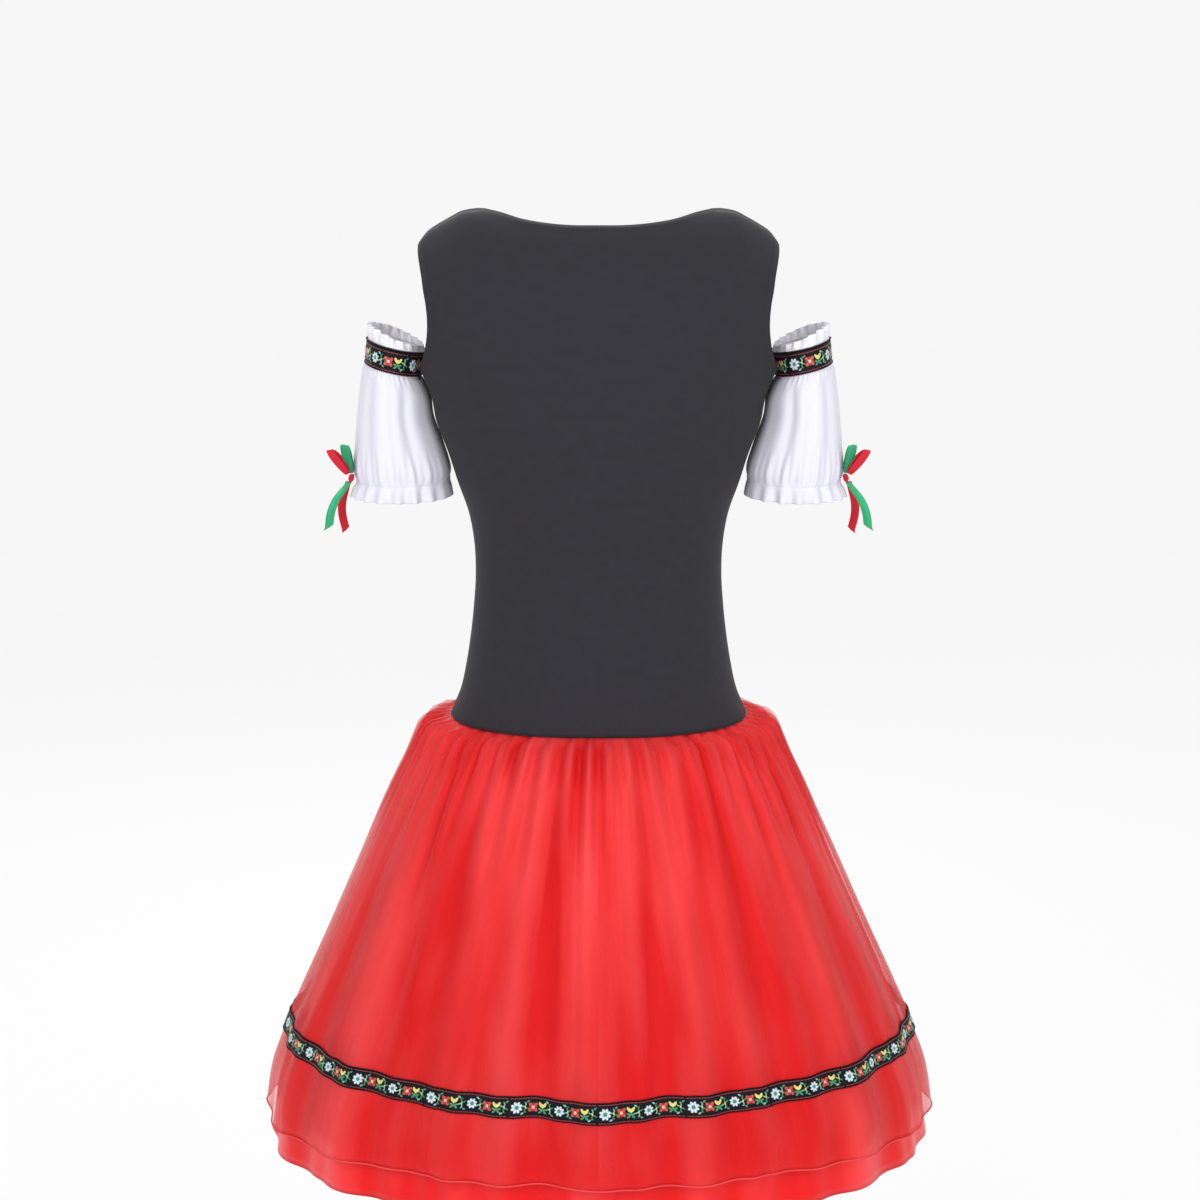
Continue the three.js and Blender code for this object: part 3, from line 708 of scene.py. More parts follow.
def stitch_motif(reach, width, lift):
    """One stitch: a low hexagonal bead of thread with narrow ends, in millimetres."""
    turns = np.radians(np.arange(0, 360, 60))
    points = [(x, width / 2 * share * math.cos(t), lift + width / 2 * share * math.sin(t))
              for x, share in ((0, 0.4), (reach * 0.2, 1), (reach * 0.8, 1), (reach, 0.4)) for t in turns]
    quads = [(r * 6 + c, r * 6 + (c + 1) % 6, (r + 1) * 6 + (c + 1) % 6, (r + 1) * 6 + c)
             for r in range(3) for c in range(6)]
    ends = [tuple(range(6)), tuple(range(23, 17, -1))]
    mesh = bpy.data.meshes.new("stitch")
    mesh.from_pydata([[part * MM for part in point] for point in points], [], quads + ends)
    return new_object("stitch", mesh)


def stitch_row(name, points, ups, offs, closed, spacing, width, material):
    """A row of stitches along a path of points."""
    motif = stitch_motif(spacing * STITCH_SHARE, width, STITCH_LIFT)
    made = repeat_along(name, motif, points, ups, offs, closed, spacing, material)
    bpy.data.objects.remove(motif)
    return made


# Bodice

def torso_depth(across, height, side):
    """How far the torso's surface stands off the side seams' plane."""
    share = np.maximum(1 - (np.abs(across) / smooth(TORSO, "half_width", height)) ** TORSO_SQUARENESS, 0)
    below = np.maximum(smooth(SHOULDER, "height", np.abs(across)) - height, 0)
    roll = np.sqrt(1 - (1 - np.minimum(below / SHOULDER_ROLL, 1)) ** 2)
    return smooth(TORSO, side, height) * share ** (1 / TORSO_SQUARENESS) * roll


def neck_height(across, side):
    """The height of a panel's top edge: its neckline, or its shoulder seam farther out."""
    out = np.abs(across)
    shoulder = smooth(SHOULDER, "height", out)
    if side == "back":
        inside = smooth(BACK_NECK, "height", out)
    else:
        scoop = 1 - np.minimum(out / NECK_HALF_WIDTH, 1) ** SCOOP_ENDS
        inside = shoulder - FRONT_NECK_DEPTH * scoop ** SCOOP_MIDDLE
    return np.where(out >= NECK_HALF_WIDTH, shoulder, inside)


def bodice_grid(side):
    """A bodice panel's points, in rows that run up from the seam to the armpits and on to its top edge."""
    sign = 1 if side == "back" else -1
    turns = np.radians(np.linspace(90, -90, BODICE_COLUMNS + 1)) * sign
    shares = np.sign(turns) * np.abs(np.sin(turns)) ** COLUMN_SPREAD
    heights = np.linspace(SEAM_HEIGHT, ARMPIT_HEIGHT, BODICE_ROWS + 1)
    rises = np.arange(1, YOKE_ROWS + 1) / YOKE_ROWS
    edge_heights = ARMPIT_HEIGHT + (SHOULDER_END_HEIGHT - ARMPIT_HEIGHT) * rises
    half_widths = np.concatenate([smooth(TORSO, "half_width", heights),
                                  smooth(ARMHOLE, "half_width", edge_heights)])
    across = half_widths[:, None] * shares[None, :]
    tops = neck_height(shares * ARMHOLE["half_width"][-1], side)
    levels = np.concatenate([np.repeat(heights[:, None], BODICE_COLUMNS + 1, axis=1),
                             ARMPIT_HEIGHT + (tops[None, :] - ARMPIT_HEIGHT) * rises[:, None]])
    depth = sign * (PANEL_GAP / 2 + torso_depth(across, levels, side))
    return np.stack([across, depth, levels], axis=2)


def turned_edges(grid, band):
    """How much the turned neck and armhole edges thicken each point of a bodice panel."""
    from_top = np.cumsum(np.linalg.norm(np.diff(grid, axis=0), axis=2)[::-1], axis=0)[::-1]
    from_top = np.concatenate([from_top, np.zeros((1, grid.shape[1]))])
    steps = np.linalg.norm(np.diff(grid, axis=1), axis=2)
    from_left = np.concatenate([np.zeros((grid.shape[0], 1)), np.cumsum(steps, axis=1)], axis=1)
    from_right = from_left[:, -1:] - from_left
    from_side = np.minimum(from_left, from_right)
    # The side seams below the armpits have no turned edge.
    from_side[:BODICE_ROWS + 1] = band * 4
    nearest = np.minimum(from_top, from_side)
    return 1 - ease(band - 0.6, band + 0.4, nearest)


def make_bodice(colours, sizes):
    material = knit_material(colours)
    thread = plain_thread_material("black sewing thread", srgb("#57565E"))
    band = sizes.turned_hem / MM
    for side in ("back", "front"):
        grid = bodice_grid(side)
        # The edges at the side seams, the waist and the shoulders are square to the next piece.
        directions = grid_normals(grid, False)
        for column in (0, -1):
            directions[:BODICE_ROWS + 1, column, 1] = 0
        directions[0, :, 2] = 0
        directions = unit(directions)
        shoulder = np.abs(grid[-1, :, 0]) >= NECK_HALF_WIDTH - 1
        directions[-1, shoulder] = (0, 0, 1)
        raised = turned_edges(grid, band) * TURNED_EDGE_RAISE
        raised[-1, shoulder] = 0
        outer = grid + directions * raised[..., None]
        piece = cloth(f"bodice_{side}_cloth", outer, sizes.knit / MM, material, False, directions)
        settle(piece, "knit", f"bodice_{side}")
        neck = np.flatnonzero(~shoulder)
        points, offs = outer[-1, neck], directions[-1, neck]
        down = unit(outer[-4, neck] - points)
        stitches = stitch_row(f"neck_stitches_{side}", points + down * (band - NECK_STITCH_INSET), -down,
                              offs, False, sizes.stitch / MM, NECK_STITCH_WIDTH, thread)
        settle(stitches, "knit")


# Skirts

def skirt_grid(levels, hem_lift):
    """A skirt's outer points, its level outward directions, and a painted light value for each point, from
    painted highlight at -1 to painted shade at 1.

    Rows run from hem to seam and crowd towards the seam. Columns run round it."""
    hem = levels["height"][0]
    share = np.linspace(0, 1, SKIRT_ROWS + 1)
    heights = hem + (SEAM_HEIGHT - hem) * (0.55 * share + 0.45 * (1 - (1 - share) ** 2.2))
    angles = 360 - 360 * np.arange(SKIRT_COLUMNS) / SKIRT_COLUMNS
    height, angle = heights[:, None], angles[None, :]
    rise = (height - hem) / (SEAM_HEIGHT - hem)
    turn = np.radians(angle)
    half_width = smooth(levels, "half_width", height)
    half_depth = smooth(levels, "half_depth", height)
    across, back = half_width * np.sin(turn), half_depth * np.cos(turn)
    level = np.zeros_like(across)
    out_way = unit(np.stack([np.sin(turn) / half_width, np.cos(turn) / half_depth, level], axis=2))

    # The folds and creases as listed.
    fold = sum(depth * bump(angle, at_hem + (at_seam - at_hem) * rise, width)
               for at_hem, at_seam, depth, width in zip(*FOLDS.values()))
    crease = sum(depth * bump(angle, at + lean * rise, width) * faded(low, high, CREASE_FADES, height)
                 for at, depth, width, low, high, lean in zip(*CREASES.values()))
    ridge = sum(strength * bump(angle, at, width) * faded(low, high, RIDGE_FADES, height)
                for at, width, low, high, strength in zip(*RIDGES.values()))
    fold_share = smooth(levels, "folds", height)

    # The gathers under the seam, which die out at uneven heights, and the puckers in the seam.
    ring = uneven(angles, SKIRT_SEED)[None, :]
    shortening = 0.5 + 0.9 * uneven(angles, SKIRT_SEED + 1, (9, 14, 23))[None, :]
    end = GATHERS_END - GATHERS_END_SWING * shortening
    gather = smooth(levels, "gathers", height) * (0.2 + 0.8 * ease(end - 60, end + 30, height))
    pucker = between(*PUCKERS, height)
    wave = -np.cos(GATHERS * turn + 2.2 * ring + 0.5 * np.sin(9 * turn))
    wave = wave * (1 + 0.7 * ring + 0.3 * np.sin(17 * turn))

    out = wave * GATHER_DEPTH * (1.3 * gather + 0.8 * pucker) + (SWELL - fold - crease) * fold_share
    swing = HEM_SWING * uneven(angles, SKIRT_SEED + 4, (5, 9, 13))[None, :]
    lift = (hem_lift * np.cos(turn) ** 2 * np.clip(1 - rise * 6, 0, 1)
            + swing * np.clip(1 - rise * 8, 0, 1) + PUCKER_RISE * wave * pucker)
    points = np.stack([across, back, height + lift], axis=2) + out_way * out[..., None]
    points[-1, :, 2] = SEAM_HEIGHT - PANEL_GAP
    # The painted light value: painted shade deep in the folds, creases and gather valleys, and painted
    # highlight or painted shade along the ridges.
    folds = (fold + 0.8 * crease) * fold_share / 9 - 0.8 * ridge - 0.4 * wave * (0.7 * gather + pucker)
    return points, out_way, np.clip(folds, -1, 1)


def faded(low, high, fades, heights):
    """1 between two heights, fading over the distances below and above each of them."""
    return between(low - fades[0], low + fades[1], high - fades[2], high + fades[3], heights)


def make_underskirt(colours, sizes):
    material = satin_material("red satin", colours.satin)
    grid, out_way, folds = skirt_grid(UNDERSKIRT, 0)
    piece = cloth("underskirt_satin", grid, sizes.satin / MM, material, True, out_way, folds)
    settle(piece, "satin", "underskirt")


def make_overskirt(colours, sizes):
    material = organza_material(colours)
    grid, out_way, folds = skirt_grid(OVERSKIRT, HEM_LIFT)
    piece = cloth("overskirt_organza", grid, sizes.organza / MM, material, True, out_way, folds)
    settle(piece, "organza", "overskirt")
    edge = plain_thread_material("red overlock thread", srgb("#E0484C"))
    ups = unit(grid[1] - grid[0])
    hem = rolled_edge("overskirt_rolled_hem", grid[0], ups, out_way[0], ROLLED_HEM_RADIUS, edge)
    settle(hem, "organza")


def ribbon_band(grid, directions, thickness, name, material):
    """A ribbon on a stretch of cloth: its band, and the path and directions of its middle line."""
    outer = grid + directions * (RIBBON_LIFT + thickness)
    piece = cloth(name, outer, thickness, material, True, directions)
    middle = len(outer) // 2
    offs = grid_normals(outer, True)[middle]
    ups = unit(outer[-1] - outer[0])
    edge = plain_thread_material("dark red picot thread", srgb("#1C0A0E"))
    picots(f"{name}_picots", outer, ups, offs, edge)
    return piece, (outer[middle], ups, offs)


def picots(name, band, ups, offs, material):
    """A row of tiny loops of thread along both edges of a ribbon."""
    for end, edge, way in (("low", band[0], -1), ("high", band[-1], 1)):
        loops = stitch_row(f"{name}_{end}", edge + ups * 0.3 * way, ups, offs, True,
                           PICOT_SPACING, PICOT_WIDTH, material)
        settle(loops, "trim")


def ribbon_flowers(name, motif, middle_line, spacing):
    """The flowers along a ribbon, from its middle line's points and directions."""
    settle(repeat_along(name, motif, *middle_line, True, spacing, thread_material()), "trim")


def make_skirt_ribbon(colours, sizes):
    grid, out_way, _ = skirt_grid(OVERSKIRT, HEM_LIFT)
    heights = grid[:, :, 2].mean(axis=1)
    wanted = np.linspace(RIBBON_LOW, RIBBON_HIGH, RIBBON_ROWS)
    band = np.stack([[np.interp(wanted, heights, column[:, axis]) for axis in range(3)]
                     for column in grid.swapaxes(0, 1)]).transpose(2, 0, 1)
    ways = np.repeat(out_way[:1], RIBBON_ROWS, axis=0)
    piece, middle_line = ribbon_band(band, ways, sizes.ribbon / MM, "skirt_ribbon_band",
                                     trim_material(colours))
    settle(piece, "trim", "skirt_ribbon")
    motif = flower_motif(SKIRT_FLOWER_SCALE)
    ribbon_flowers("skirt_ribbon_flowers", motif, middle_line, sizes.motif_repeat / MM * SKIRT_FLOWER_SCALE)
    bpy.data.objects.remove(motif)


# Flower ribbon

THREADS = {"white": "#C4D3DE", "leaf": "#3E8A62", "teal": "#79B8A4", "yellow": "#D6CC72", "red": "#C2402E",
           "pink": "#F2B3A0", "rose": "#7A2430"}


class Patches:
    """Small flat patches of stitching, each a low prism in one thread colour."""

    def __init__(self, scale):
        self.scale, self.points, self.faces, self.colours = scale, [], [], []

    def outline(self, outline, thread, low=0.05, high=0.4):
        first, count = len(self.points), len(outline)
        for level in (low, high):
            self.points += [(x * self.scale, y * self.scale, level) for x, y in outline]
        top = [first + count + i for i in range(count)]
        self.faces += [tuple(top), tuple(first + i for i in reversed(range(count)))]
        for i in range(count):
            j = (i + 1) % count
            self.faces.append((first + i, first + j, first + count + j, first + count + i))
        self.colours += [thread] * (count + 2)

    def petal(self, x, y, degrees, reach, width, thread, start=0.0):
        cos, sin = math.cos(math.radians(degrees)), math.sin(math.radians(degrees))
        shape = ((start, 0), (reach * 0.45, -width / 2), (reach * 0.85, -width / 2.6), (reach, 0),
                 (reach * 0.85, width / 2.6), (reach * 0.45, width / 2))
        self.outline([(x + u * cos - v * sin, y + u * sin + v * cos) for u, v in shape], thread)

    def dot(self, x, y, radius, thread, high=0.5):
        turns = [math.radians(60 * i) for i in range(6)]
        circle = [(x + radius * math.cos(t), y + radius * math.sin(t)) for t in turns]
        self.outline(circle, thread, high=high)

    def curl(self, x, y, radius, start, sweep, thread, width=0.8):
        turns = [math.radians(start + sweep * i / 5) for i in range(6)]
        way = 1 if sweep > 0 else -1
        outside, inside = ([(x + reach * math.cos(t), y + reach * math.sin(t)) for t in turns]
                           for reach in (radius + width / 2, radius - width / 2))
        self.outline((outside + inside[::-1])[::way], thread)

    def finish(self, name):
        mesh = bpy.data.meshes.new(name)
        mesh.from_pydata([[part * MM for part in point] for point in self.points], [], self.faces)
        layer = mesh.attributes.new("thread", "FLOAT_COLOR", "CORNER")
        corners = [srgb(THREADS[thread]) + (1,)
                   for thread, face in zip(self.colours, self.faces) for _ in face]
        layer.data.foreach_set("color", np.array(corners).ravel())
        return new_object(name, mesh)


def white_flower(patches, x, reach):
    for i in range(8):
        patches.petal(x, 0, 22.5 + 45 * i, reach, reach * 0.5, "white", 1.3)
    patches.dot(x, 0, 1.3, "leaf")


def red_flower(patches, x):
    for i in range(4):
        patches.petal(x, 0, 45 + 90 * i, 4.6, 2.6, "red", 1.1)
        patches.petal(x, 0, 90 * i, 3.6, 1.6, "rose", 1.1)
    patches.dot(x, 0, 1.3, "pink")


def tulip(patches, x, up):
    for degrees, reach in ((58, 5.4), (122, 5.4), (90, 3.4)):
        patches.petal(x, -0.6 * up, degrees * up, reach, 2.2, "yellow")
    for degrees in (20, 160, 215, 325):
        patches.petal(x, -2.2 * up, degrees * up, 3.8, 1.5, "leaf")
    patches.dot(x, -1.6 * up, 0.9, "leaf")


def scroll(patches, x, up):
    patches.curl(x - 1.2, 2.2 * up, 1.7, 200 * up, 230 * up, "teal")
    patches.curl(x + 1.2, -2.4 * up, 1.7, 20 * up, 230 * up, "leaf")
    patches.petal(x + 0.6, 3.6 * up, 30 * up, 3.0, 1.4, "leaf")
    patches.petal(x - 0.8, -3.8 * up, 210 * up, 3.0, 1.4, "teal")
    patches.dot(x, 0, 0.7, "yellow")


def flower_motif(scale):
    """One repeat of the ribbon's flowers, charted one by one, with a woven line along both edges."""
    patches = Patches(scale)
    for start, up, reach in ((0, 1, 4.7), (MOTIF_LENGTH / 2, -1, 4.1)):
        white_flower(patches, start + 5, reach)
        scroll(patches, start + 11.6, up)
        red_flower(patches, start + 17.6)
        tulip(patches, start + 25, 1)
        scroll(patches, start + 31, -up)
    for edge in (-EDGE_LINE_OFF_MIDDLE, EDGE_LINE_OFF_MIDDLE):
        low, high = edge - EDGE_LINE_WIDTH / 2, edge + EDGE_LINE_WIDTH / 2
        for i in range(EDGE_STITCHES):
            start = i * MOTIF_LENGTH / EDGE_STITCHES
            end = start + EDGE_STITCH_LENGTH
            patches.outline([(start, low), (end, low), (end, high), (start, high)], "rose", high=0.25)
    return patches.finish("flower repeat")


# Sleeves

def free_of_bodice(turn):
    """1 round most of a sleeve, down to 0 on the line where it lies beside the bodice."""
    return np.minimum(1, (1 + np.cos(turn)) * FREE_SHARE)


def sleeve_rings(rows, columns):
    """The left sleeve's outer points at any rows of its table, and its level outward directions."""
    angles = np.arange(columns) * 360 / columns
    row, angle = np.asarray(rows, dtype=float)[:, None], angles[None, :]
    turn = np.radians(angle)
    read = {key: smooth(SLEEVE, key, row) for key in SLEEVE if key != "row"}
    middle, reach = (read["out"] + read["inner"]) / 2, (read["out"] - read["inner"]) / 2
    centre = (read["out_height"] + read["in_height"]) / 2
    tilt = (read["out_height"] - read["in_height"]) / 2
    fold = sum(depth * bump(angle, at, width) for at, depth, width in zip(*SLEEVE_FOLDS.values()))
    ring = uneven(angles, SLEEVE_SEED)[None, :]
    ruffle = -np.cos(SLEEVE_WAVES * turn + 0.8 * ring) * np.maximum(read["ruffle"], 0) * (1 + 0.4 * ring)
    gathered = sum(between(*limits, row) for limits in SLEEVE_GATHERS)
    gather = np.cos(2 * SLEEVE_WAVES * turn + 2 * ring) * SLEEVE_GATHER_DEPTH * gathered
    out = (ruffle + gather - fold * np.clip(read["folds"], 0, 1)) * free_of_bodice(turn)
    level = np.zeros_like(reach * turn)
    ways = np.stack([np.cos(turn) / reach, np.sin(turn) / read["half_depth"], level], axis=2)
    points = np.stack([middle + (reach + out) * np.cos(turn), (read["half_depth"] + out) * np.sin(turn),
                       centre + tilt * np.cos(turn)], axis=2)
    return points, unit(ways)


def on_side(grid, side):
    """Turns a left grid into a right one, with its columns still anticlockwise."""
    if side == "left":
        return grid
    return (grid * (-1, 1, 1))[:, ::-1]


def make_sleeves(colours, sizes):
    material = cotton_material(colours)
    thread = plain_thread_material("white sewing thread", srgb("#D2D0DC"))
    rows = np.concatenate([np.linspace(0, 3, 22), np.linspace(3, 7, 34)[1:],
                           np.linspace(7, TOP_ROW, 18)[1:]])
    grid, ways = sleeve_rings(rows, SLEEVE_COLUMNS)
    line = int(np.argmin(np.abs(rows - ELASTIC_ROW)))
    for side in SIDES:
        outer, off = on_side(grid, side), on_side(ways, side)
        piece = cloth(f"sleeve_{side}_cotton", outer, sizes.cotton / MM, material, True, off)
        settle(piece, "cotton", f"sleeve_{side}")
        ups = unit(outer[line + 1] - outer[line - 1])
        stitches = stitch_row(f"elastic_stitches_{side}", outer[line], ups, off[line], True,
                              sizes.stitch / MM, ELASTIC_STITCH_WIDTH, thread)
        settle(stitches, "cotton")


def make_frills(colours, sizes):
    material = lace_material(colours)
    base, ways = sleeve_rings([TOP_ROW], FRILL_COLUMNS)
    angles = np.arange(FRILL_COLUMNS) * 360 / FRILL_COLUMNS
    turn = np.radians(angles)
    ring = uneven(angles, FRILL_SEED)
    wave = -np.cos(SLEEVE_WAVES * turn + 1.2 * ring) * free_of_bodice(turn)
    height = FRILL_HEIGHT * (1 + FRILL_INNER_SHARE + (1 - FRILL_INNER_SHARE) * np.cos(turn)) / 2
    ups = np.outer(height * (1 + FRILL_SWING * ring), (0, 0, 1))
    offs = ways[0] * (wave * FRILL_WAVE - FRILL_LEAN)[:, None]
    grid = np.stack([base[0] + (0, 0, PANEL_GAP) + (ups + offs) * rise
                     for rise in np.linspace(0, 1, FRILL_ROWS)])
    directions = np.repeat(ways, FRILL_ROWS, axis=0)
    for side in SIDES:
        outer, off = on_side(grid, side), on_side(directions, side)
        piece = cloth(f"sleeve_frill_{side}_lace", outer, sizes.lace / MM, material, True, off)
        settle(piece, "lace", f"sleeve_frill_{side}")


def make_sleeve_ribbons(colours, sizes):
    trim = trim_material(colours)
    rows = np.linspace(SLEEVE_RIBBON_ROW, TOP_ROW, RIBBON_ROWS)
    grid, ways = sleeve_rings(rows, SLEEVE_RIBBON_COLUMNS)
    motif = flower_motif(SLEEVE_FLOWER_SCALE)
    spacing = sizes.motif_repeat / MM * SLEEVE_FLOWER_SCALE
    for side in SIDES:
        piece, middle_line = ribbon_band(on_side(grid, side), on_side(ways, side), sizes.ribbon / MM,
                                         f"sleeve_ribbon_{side}_band", trim)
        settle(piece, "trim", f"sleeve_ribbon_{side}")
        ribbon_flowers(f"sleeve_ribbon_{side}_flowers", motif, middle_line, spacing)
    bpy.data.objects.remove(motif)


# Bows

def bow_loop(root, way, size, opening):
    """A loop's points: its ribbon goes out from the root and back, narrow at the root and at its tip."""
    away = unit(np.array(way))
    across = unit(np.cross(unit(np.array(BOW_FACING)), away))
    wide = np.cross(away, across)
    turns = np.radians(np.linspace(0, 360, 65))[:, None]
    path = root + away * size / 2 * (1 - np.cos(turns)) + wide * opening / 2 * np.sin(turns)
    bulge = np.sin(turns / 2)
    half = BOW_RIBBON_WIDTH / 2 * (LOOP_ROOT_SHARE + (1 - LOOP_ROOT_SHARE) * bulge)
    half = half * (1 - LOOP_TIP_NARROWING * bulge ** 8)
    side_way = across * half + away * LOOP_SLANT * half * bulge
    # The ribbon is pleated lengthwise where the knot holds it.
    pleats = LOOP_PLEAT * np.cos(2.2 * math.pi * BOW_RIBBON_SHARES)
    near_root = np.cos(turns / 2) ** 2
    return np.stack([path + side_way * share + wide * pleat * near_root
                     for share, pleat in zip(BOW_RIBBON_SHARES, pleats)])


def bow_tail(root, end, bend):
    """A tail's points, from the root down to its slanting end, with a low cup along its middle."""
    t = np.linspace(0, 1, 40)[:, None]
    half = BOW_TAIL_WIDTH / 2 * (0.75 + 0.25 * ease(0, 0.3, t))
    rows = []
    for share in BOW_RIBBON_SHARES:
        along = t * (1 + 0.07 * share)
        bent = bend * np.sin(math.pi * np.minimum(along, 1))
        cup = BOW_TAIL_CUP * (1 - share * share) * ease(0, 0.4, t)
        rows.append(root + along * np.array(end)
                    + np.concatenate([bent + half * share, cup, np.zeros_like(t)], axis=1))
    return np.stack(rows)


def bow_knot(sign):
    """The knot's points round its middle: a short band pulled tight round the roots of the loops."""
    turns = np.radians(np.arange(32) * 360 / 32)
    depth, width, tall = (KNOT[key] / 2 for key in ("depth", "width", "tall"))
    rings = []
    for share in BOW_RIBBON_SHARES:
        swell = math.sqrt(1 - 0.45 * share ** 4) * (0.25 if abs(share) == 1 else 1)
        bulge = swell * (1 + 0.05 * np.cos(3 * turns + 2 * share))
        rings.append(np.stack([sign * (depth + depth * np.cos(turns) * bulge), np.full(32, share * width),
                               tall * np.sin(turns) * bulge], axis=1))
    return np.stack(rings)


def make_bows(colours, sizes):
    finishes = {"red": satin_material("red ribbon satin", colours.red, 0.3),
                "green": satin_material("green ribbon satin", colours.green, 0.3)}
    thickness = sizes.bow / MM
    knot = np.array([KNOT["out"], KNOT["back"], KNOT["height"]], dtype=float)
    ribbons = [("loop", name, bow_loop(knot + root, way, size, opening), finish)
               for name, root, way, size, opening, finish in LOOPS]
    ribbons += [("tail", name, bow_tail(knot + root, end, bend), name) for name, root, end, bend in TAILS]
    for side, sign in SIDES.items():
        flip = np.array((sign, 1, 1))
        for kind, name, grid, finish in ribbons:
            node = f"bow_{kind}_{name}_{side}"
            outer = grid * flip if sign > 0 else (grid * flip)[::-1]
            settle(cloth(f"{node}_ribbon", outer, thickness, finishes[finish], False),
                   f"{finish}_ribbon", node)
        grid = bow_knot(sign) + knot * flip
        outer = grid if sign < 0 else grid[:, ::-1]
        settle(cloth(f"bow_knot_{side}_ribbon", outer, thickness, finishes["red"], True),
               "red_ribbon", f"bow_knot_{side}")


# Stage, in metres

FLOOR_HEIGHT = -1.45
FLOOR_HALF_WIDTH = 30
FLOOR_END = 30
SWEEP_START = -5
SWEEP_RADIUS = 4
WALL_TOP = 20
PAPER_SHADE = 0.24
PAPER_GLOW = 0.83
WORLD_LIGHT = 0.6
# Each lamp's name, place, width and watts.
LAMPS = (("key", (1.2, 2.6, 1.2), 1.5, 38), ("fill", (-1.4, 2.4, 0.8), 1.8, 32),
         ("front", (0.5, -2.6, 1.2), 2.4, 26))
LAMP_TARGET = (0, 0, -0.45)
CAMERA_PLACE = (-0.0013, 2.0, 0.0514)
CAMERA_PITCH = 11.5
CAMERA_LENS = 66.67
CAMERA_SENSOR = 36


def paper_material(base):
    """Backlit studio paper: pale and even, with hardly any shadow on it."""
    material, tree, shader = new_material("backlit studio paper")
    surface(tree, shader, Base_Color=shade(base, PAPER_SHADE), Roughness=0.9, Specular_IOR_Level=0.0,
            Emission_Color=shade(base, 1), Emission_Strength=PAPER_GLOW)
    return material


def make_floor(colours):
    """A sheet of paper that lies flat, curves up and hangs as the wall."""
    turns = np.radians(np.linspace(0, 90, 25))
    line = [(FLOOR_END, FLOOR_HEIGHT)]
    line += [(SWEEP_START - SWEEP_RADIUS * math.sin(t), FLOOR_HEIGHT + SWEEP_RADIUS * (1 - math.cos(t)))
             for t in turns]
    line.append((SWEEP_START - SWEEP_RADIUS, WALL_TOP))
    points = [(x, y, z) for y, z in line for x in (-FLOOR_HALF_WIDTH, FLOOR_HALF_WIDTH)]
    faces = [(2 * i, 2 * i + 2, 2 * i + 3, 2 * i + 1) for i in range(len(line) - 1)]
    mesh = bpy.data.meshes.new("floor")
    mesh.from_pydata(points, [], faces)
    mesh.materials.append(paper_material(colours.stage))
    new_object("floor", mesh)


def make_lights(scene):
    world = bpy.data.worlds.new("studio")
    world.use_nodes = True
    tree = world.node_tree
    tree.nodes.clear()
    light = add_node(tree, "ShaderNodeBackground", {"Color": (1, 1, 1, 1), "Strength": WORLD_LIGHT})
    add_node(tree, "ShaderNodeOutputWorld", links={0: light.outputs[0]})
    scene.world = world
    for name, place, size, power in LAMPS:
        lamp = bpy.data.lights.new(name, "AREA")
        lamp.shape, lamp.size, lamp.energy = "DISK", size, power
        obj = new_object(name, lamp)
        obj.location = place
        obj.rotation_euler = (Vector(LAMP_TARGET) - Vector(place)).to_track_quat("-Z", "Y").to_euler()


def make_stage(scene, colours):
    """A pale floor, soft light and the camera behind the wearer."""
    scene.view_settings.view_transform = "Standard"
    make_floor(colours)
    make_lights(scene)
    data = bpy.data.cameras.new("camera")
    data.lens, data.sensor_width = CAMERA_LENS, CAMERA_SENSOR
    camera = new_object("camera", data)
    camera.location = CAMERA_PLACE
    camera.rotation_euler = (math.radians(90 - CAMERA_PITCH), 0, math.radians(180))
    scene.camera = camera


# Steps and panel

class DIRNDL_OT_stage(bpy.types.Operator):
    """Make the floor, the light and the camera"""
    bl_idname = "dirndl.stage"
    bl_label = "Stage"
    bl_options = {"REGISTER", "UNDO"}

    def execute(self, context):
        make_stage(context.scene, context.scene.dirndl_colours)
        return {"FINISHED"}


class DIRNDL_OT_bodice(bpy.types.Operator):
    """Make the back and front of the knit bodice"""
    bl_idname = "dirndl.bodice"
    bl_label = "Bodice"
    bl_options = {"REGISTER", "UNDO"}

    def execute(self, context):
        make_bodice(context.scene.dirndl_colours, context.scene.dirndl_sizes)
        return {"FINISHED"}


class DIRNDL_OT_underskirt(bpy.types.Operator):
    """Make the satin underskirt"""
    bl_idname = "dirndl.underskirt"
    bl_label = "Underskirt"
    bl_options = {"REGISTER", "UNDO"}

    def execute(self, context):
        make_underskirt(context.scene.dirndl_colours, context.scene.dirndl_sizes)
        return {"FINISHED"}


class DIRNDL_OT_overskirt(bpy.types.Operator):
    """Make the sheer overskirt"""
    bl_idname = "dirndl.overskirt"
    bl_label = "Overskirt"
    bl_options = {"REGISTER", "UNDO"}

    def execute(self, context):
        make_overskirt(context.scene.dirndl_colours, context.scene.dirndl_sizes)
        return {"FINISHED"}


class DIRNDL_OT_skirt_ribbon(bpy.types.Operator):
    """Make the flower ribbon round the overskirt"""
    bl_idname = "dirndl.skirt_ribbon"
    bl_label = "Skirt ribbon"
    bl_options = {"REGISTER", "UNDO"}

    def execute(self, context):
        make_skirt_ribbon(context.scene.dirndl_colours, context.scene.dirndl_sizes)
        return {"FINISHED"}


class DIRNDL_OT_sleeves(bpy.types.Operator):
    """Make both puff sleeves"""
    bl_idname = "dirndl.sleeves"
    bl_label = "Sleeves"
    bl_options = {"REGISTER", "UNDO"}

    def execute(self, context):
        make_sleeves(context.scene.dirndl_colours, context.scene.dirndl_sizes)
        return {"FINISHED"}


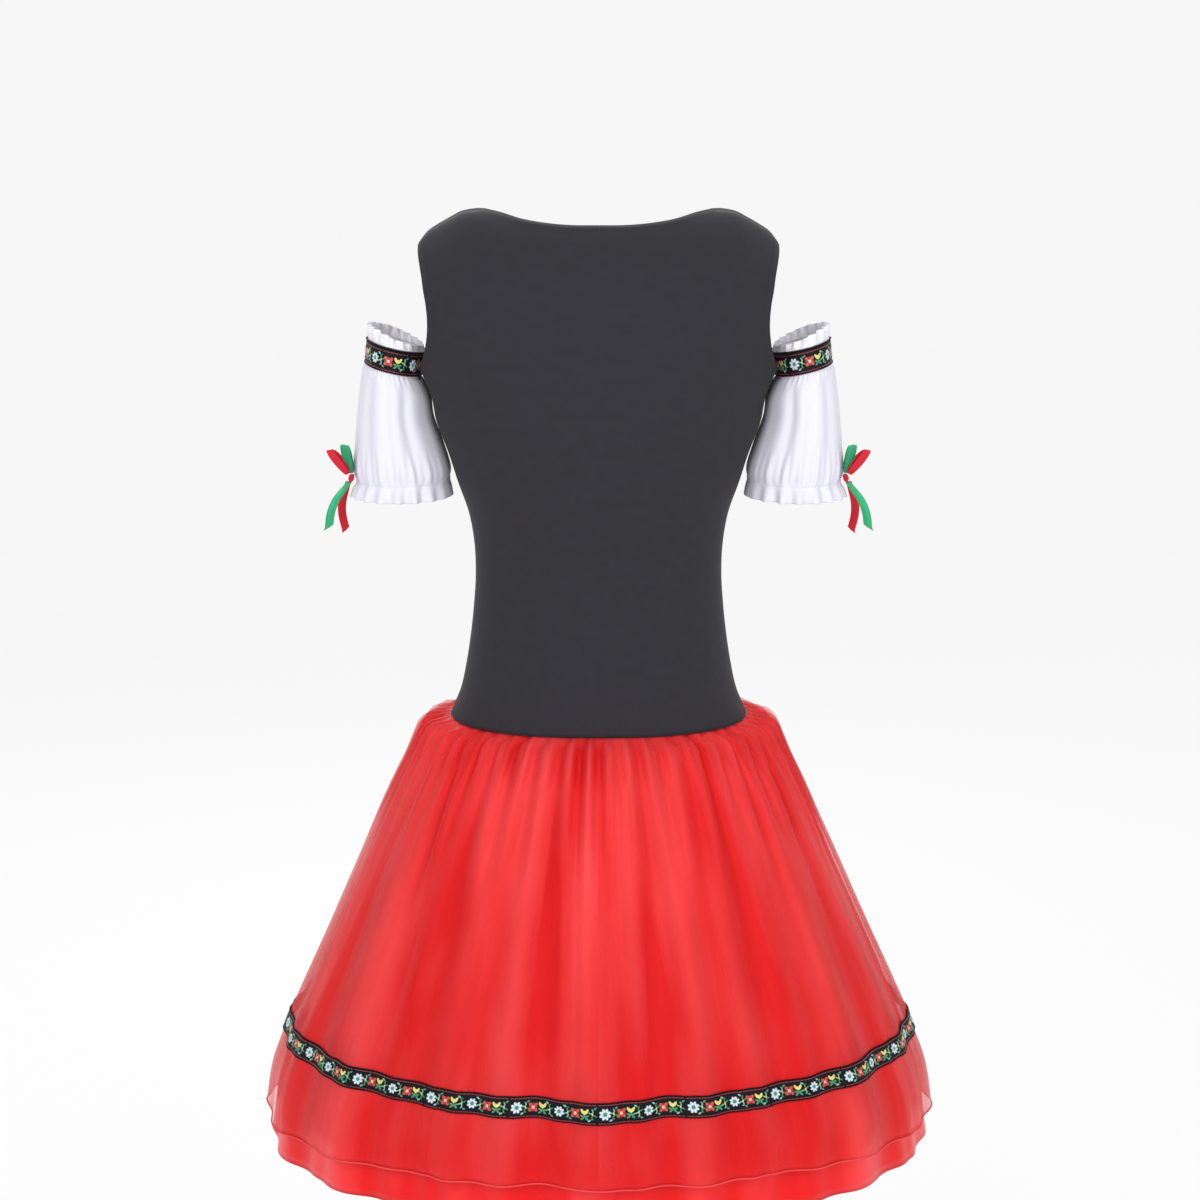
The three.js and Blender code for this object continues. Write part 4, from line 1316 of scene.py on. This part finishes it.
class DIRNDL_OT_frills(bpy.types.Operator):
    """Make the lace frills on top of the sleeves"""
    bl_idname = "dirndl.frills"
    bl_label = "Lace frills"
    bl_options = {"REGISTER", "UNDO"}

    def execute(self, context):
        make_frills(context.scene.dirndl_colours, context.scene.dirndl_sizes)
        return {"FINISHED"}


class DIRNDL_OT_sleeve_ribbons(bpy.types.Operator):
    """Make the flower ribbons round the sleeves"""
    bl_idname = "dirndl.sleeve_ribbons"
    bl_label = "Sleeve ribbons"
    bl_options = {"REGISTER", "UNDO"}

    def execute(self, context):
        make_sleeve_ribbons(context.scene.dirndl_colours, context.scene.dirndl_sizes)
        return {"FINISHED"}


class DIRNDL_OT_bows(bpy.types.Operator):
    """Make the bows on the outer sides of the sleeves"""
    bl_idname = "dirndl.bows"
    bl_label = "Bows"
    bl_options = {"REGISTER", "UNDO"}

    def execute(self, context):
        make_bows(context.scene.dirndl_colours, context.scene.dirndl_sizes)
        return {"FINISHED"}


STEPS = (DIRNDL_OT_stage, DIRNDL_OT_bodice, DIRNDL_OT_underskirt, DIRNDL_OT_overskirt,
         DIRNDL_OT_skirt_ribbon, DIRNDL_OT_sleeves, DIRNDL_OT_frills, DIRNDL_OT_sleeve_ribbons,
         DIRNDL_OT_bows)


class DIRNDL_PT_panel(bpy.types.Panel):
    """The dirndl's sizes, colours and steps"""
    bl_idname = "DIRNDL_PT_panel"
    bl_label = "Dirndl"
    bl_space_type = "VIEW_3D"
    bl_region_type = "UI"
    bl_category = "Dirndl"

    def draw(self, context):
        for group in (context.scene.dirndl_colours, context.scene.dirndl_sizes):
            for name in group.bl_rna.properties.keys():
                if name not in ("rna_type", "name"):
                    self.layout.prop(group, name)
        for step in STEPS:
            self.layout.operator(step.bl_idname)


CLASSES = (DirndlColours, DirndlSizes) + STEPS + (DIRNDL_PT_panel,)


def register():
    for cls in CLASSES:
        bpy.utils.register_class(cls)
    bpy.types.Scene.dirndl_colours = bpy.props.PointerProperty(type=DirndlColours)
    bpy.types.Scene.dirndl_sizes = bpy.props.PointerProperty(type=DirndlSizes)


def unregister():
    del bpy.types.Scene.dirndl_sizes
    del bpy.types.Scene.dirndl_colours
    for cls in reversed(CLASSES):
        bpy.utils.unregister_class(cls)


def main():
    register()
    for step in STEPS:
        group, name = step.bl_idname.split(".")
        getattr(getattr(bpy.ops, group), name)()


if __name__ == "__main__":
    main()
